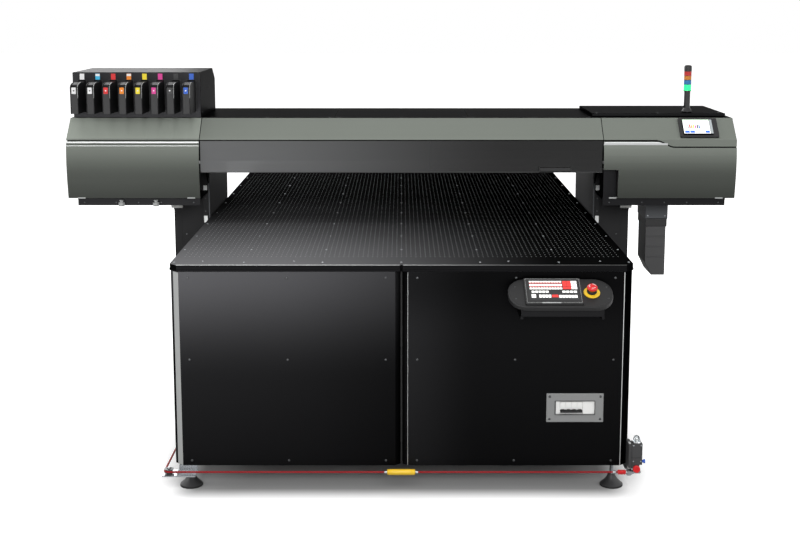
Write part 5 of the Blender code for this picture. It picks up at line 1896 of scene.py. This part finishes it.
class PRINTER_OT_breaker_panel(Operator):
    """Finish the breaker panel's frame and build its poles"""
    bl_idname = "printer.breaker_panel"
    bl_label = "Breaker Panel"

    def execute(self, context):
        return run(breaker_panel)


class PRINTER_OT_legs(Operator):
    """Finish the legs and add their rails, folds, hatches and screws"""
    bl_idname = "printer.legs"
    bl_label = "Gantry Legs"

    def execute(self, context):
        return run(gantry_legs)


class PRINTER_OT_beam(Operator):
    """Finish the beam and its covers, and add their trims and screws"""
    bl_idname = "printer.beam"
    bl_label = "Beam And Covers"

    def execute(self, context):
        return run(beam_and_covers, band_trim, cover_label)


class PRINTER_OT_side_covers(Operator):
    """Add the side covers' painted highlights, latch tabs, hinges and end stops"""
    bl_idname = "printer.side_covers"
    bl_label = "Side Covers"

    def execute(self, context):
        return run(cover_fittings)


class PRINTER_OT_smoked_cover(Operator):
    """Finish the front cover and build its grip and hinges"""
    bl_idname = "printer.smoked_cover"
    bl_label = "Smoked Cover"

    def execute(self, context):
        return run(smoked_cover)


class PRINTER_OT_trays(Operator):
    """Finish the maintenance trays and add the thumb knobs"""
    bl_idname = "printer.trays"
    bl_label = "Maintenance Trays"

    def execute(self, context):
        return run(maintenance_trays)


class PRINTER_OT_waste_bottle(Operator):
    """Finish the waste bottle and its bracket"""
    bl_idname = "printer.waste_bottle"
    bl_label = "Waste Bottle"

    def execute(self, context):
        return run(waste_fittings)


class PRINTER_OT_ink_supply(Operator):
    """Finish the ink box and build its labels and its eight pull-out trays"""
    bl_idname = "printer.ink_supply"
    bl_label = "Ink Supply"

    def execute(self, context):
        return run(ink_box, ink_trays)


class PRINTER_OT_touch_panel(Operator):
    """Build the touch panel's display"""
    bl_idname = "printer.touch_panel"
    bl_label = "Touch Panel"

    def execute(self, context):
        return run(touch_panel)


class PRINTER_OT_stack_light(Operator):
    """Build the stack light's foot, pole, lenses and cap"""
    bl_idname = "printer.stack_light"
    bl_label = "Stack Light"

    def execute(self, context):
        return run(stack_light)


class PRINTER_OT_carriage(Operator):
    """Finish the carriage and the capping station, and add heads, lamps and lines"""
    bl_idname = "printer.carriage"
    bl_label = "Print Carriage"

    def execute(self, context):
        return run(print_carriage)


OPERATORS = (
    PRINTER_OT_stage, PRINTER_OT_table_plate, PRINTER_OT_cabinet, PRINTER_OT_side_rails,
    PRINTER_OT_rear_fittings, PRINTER_OT_blower, PRINTER_OT_feet, PRINTER_OT_safety_rope,
    PRINTER_OT_rope_switch, PRINTER_OT_control_desk, PRINTER_OT_emergency_stop, PRINTER_OT_breaker_panel,
    PRINTER_OT_legs, PRINTER_OT_beam, PRINTER_OT_side_covers, PRINTER_OT_smoked_cover, PRINTER_OT_trays,
    PRINTER_OT_waste_bottle, PRINTER_OT_ink_supply, PRINTER_OT_touch_panel, PRINTER_OT_stack_light,
    PRINTER_OT_carriage,
)


class PRINTER_PT_finishes(Panel):
    """Lists the printer's sizes, its colours and the steps that build its finishes"""

    bl_idname = "PRINTER_PT_finishes"
    bl_label = "Flatbed UV Printer"
    bl_space_type = "VIEW_3D"
    bl_region_type = "UI"
    bl_category = "Printer"

    def draw(self, context):
        for group in (context.scene.printer_sizes, context.scene.printer_colours):
            box = self.layout.box()
            for name in group.__annotations__:
                box.prop(group, name)
        for operator in OPERATORS:
            self.layout.operator(operator.bl_idname)


CLASSES = (PrinterSizes, PrinterColours, *OPERATORS, PRINTER_PT_finishes)


def register():
    for made in CLASSES:
        bpy.utils.register_class(made)
    bpy.types.Scene.printer_sizes = bpy.props.PointerProperty(type=PrinterSizes)
    bpy.types.Scene.printer_colours = bpy.props.PointerProperty(type=PrinterColours)


def unregister():
    del bpy.types.Scene.printer_colours
    del bpy.types.Scene.printer_sizes
    for made in reversed(CLASSES):
        bpy.utils.unregister_class(made)


def main():
    register()
    for operator in OPERATORS:
        group, name = operator.bl_idname.split(".")
        getattr(getattr(bpy.ops, group), name)()


if __name__ == "__main__":
    main()
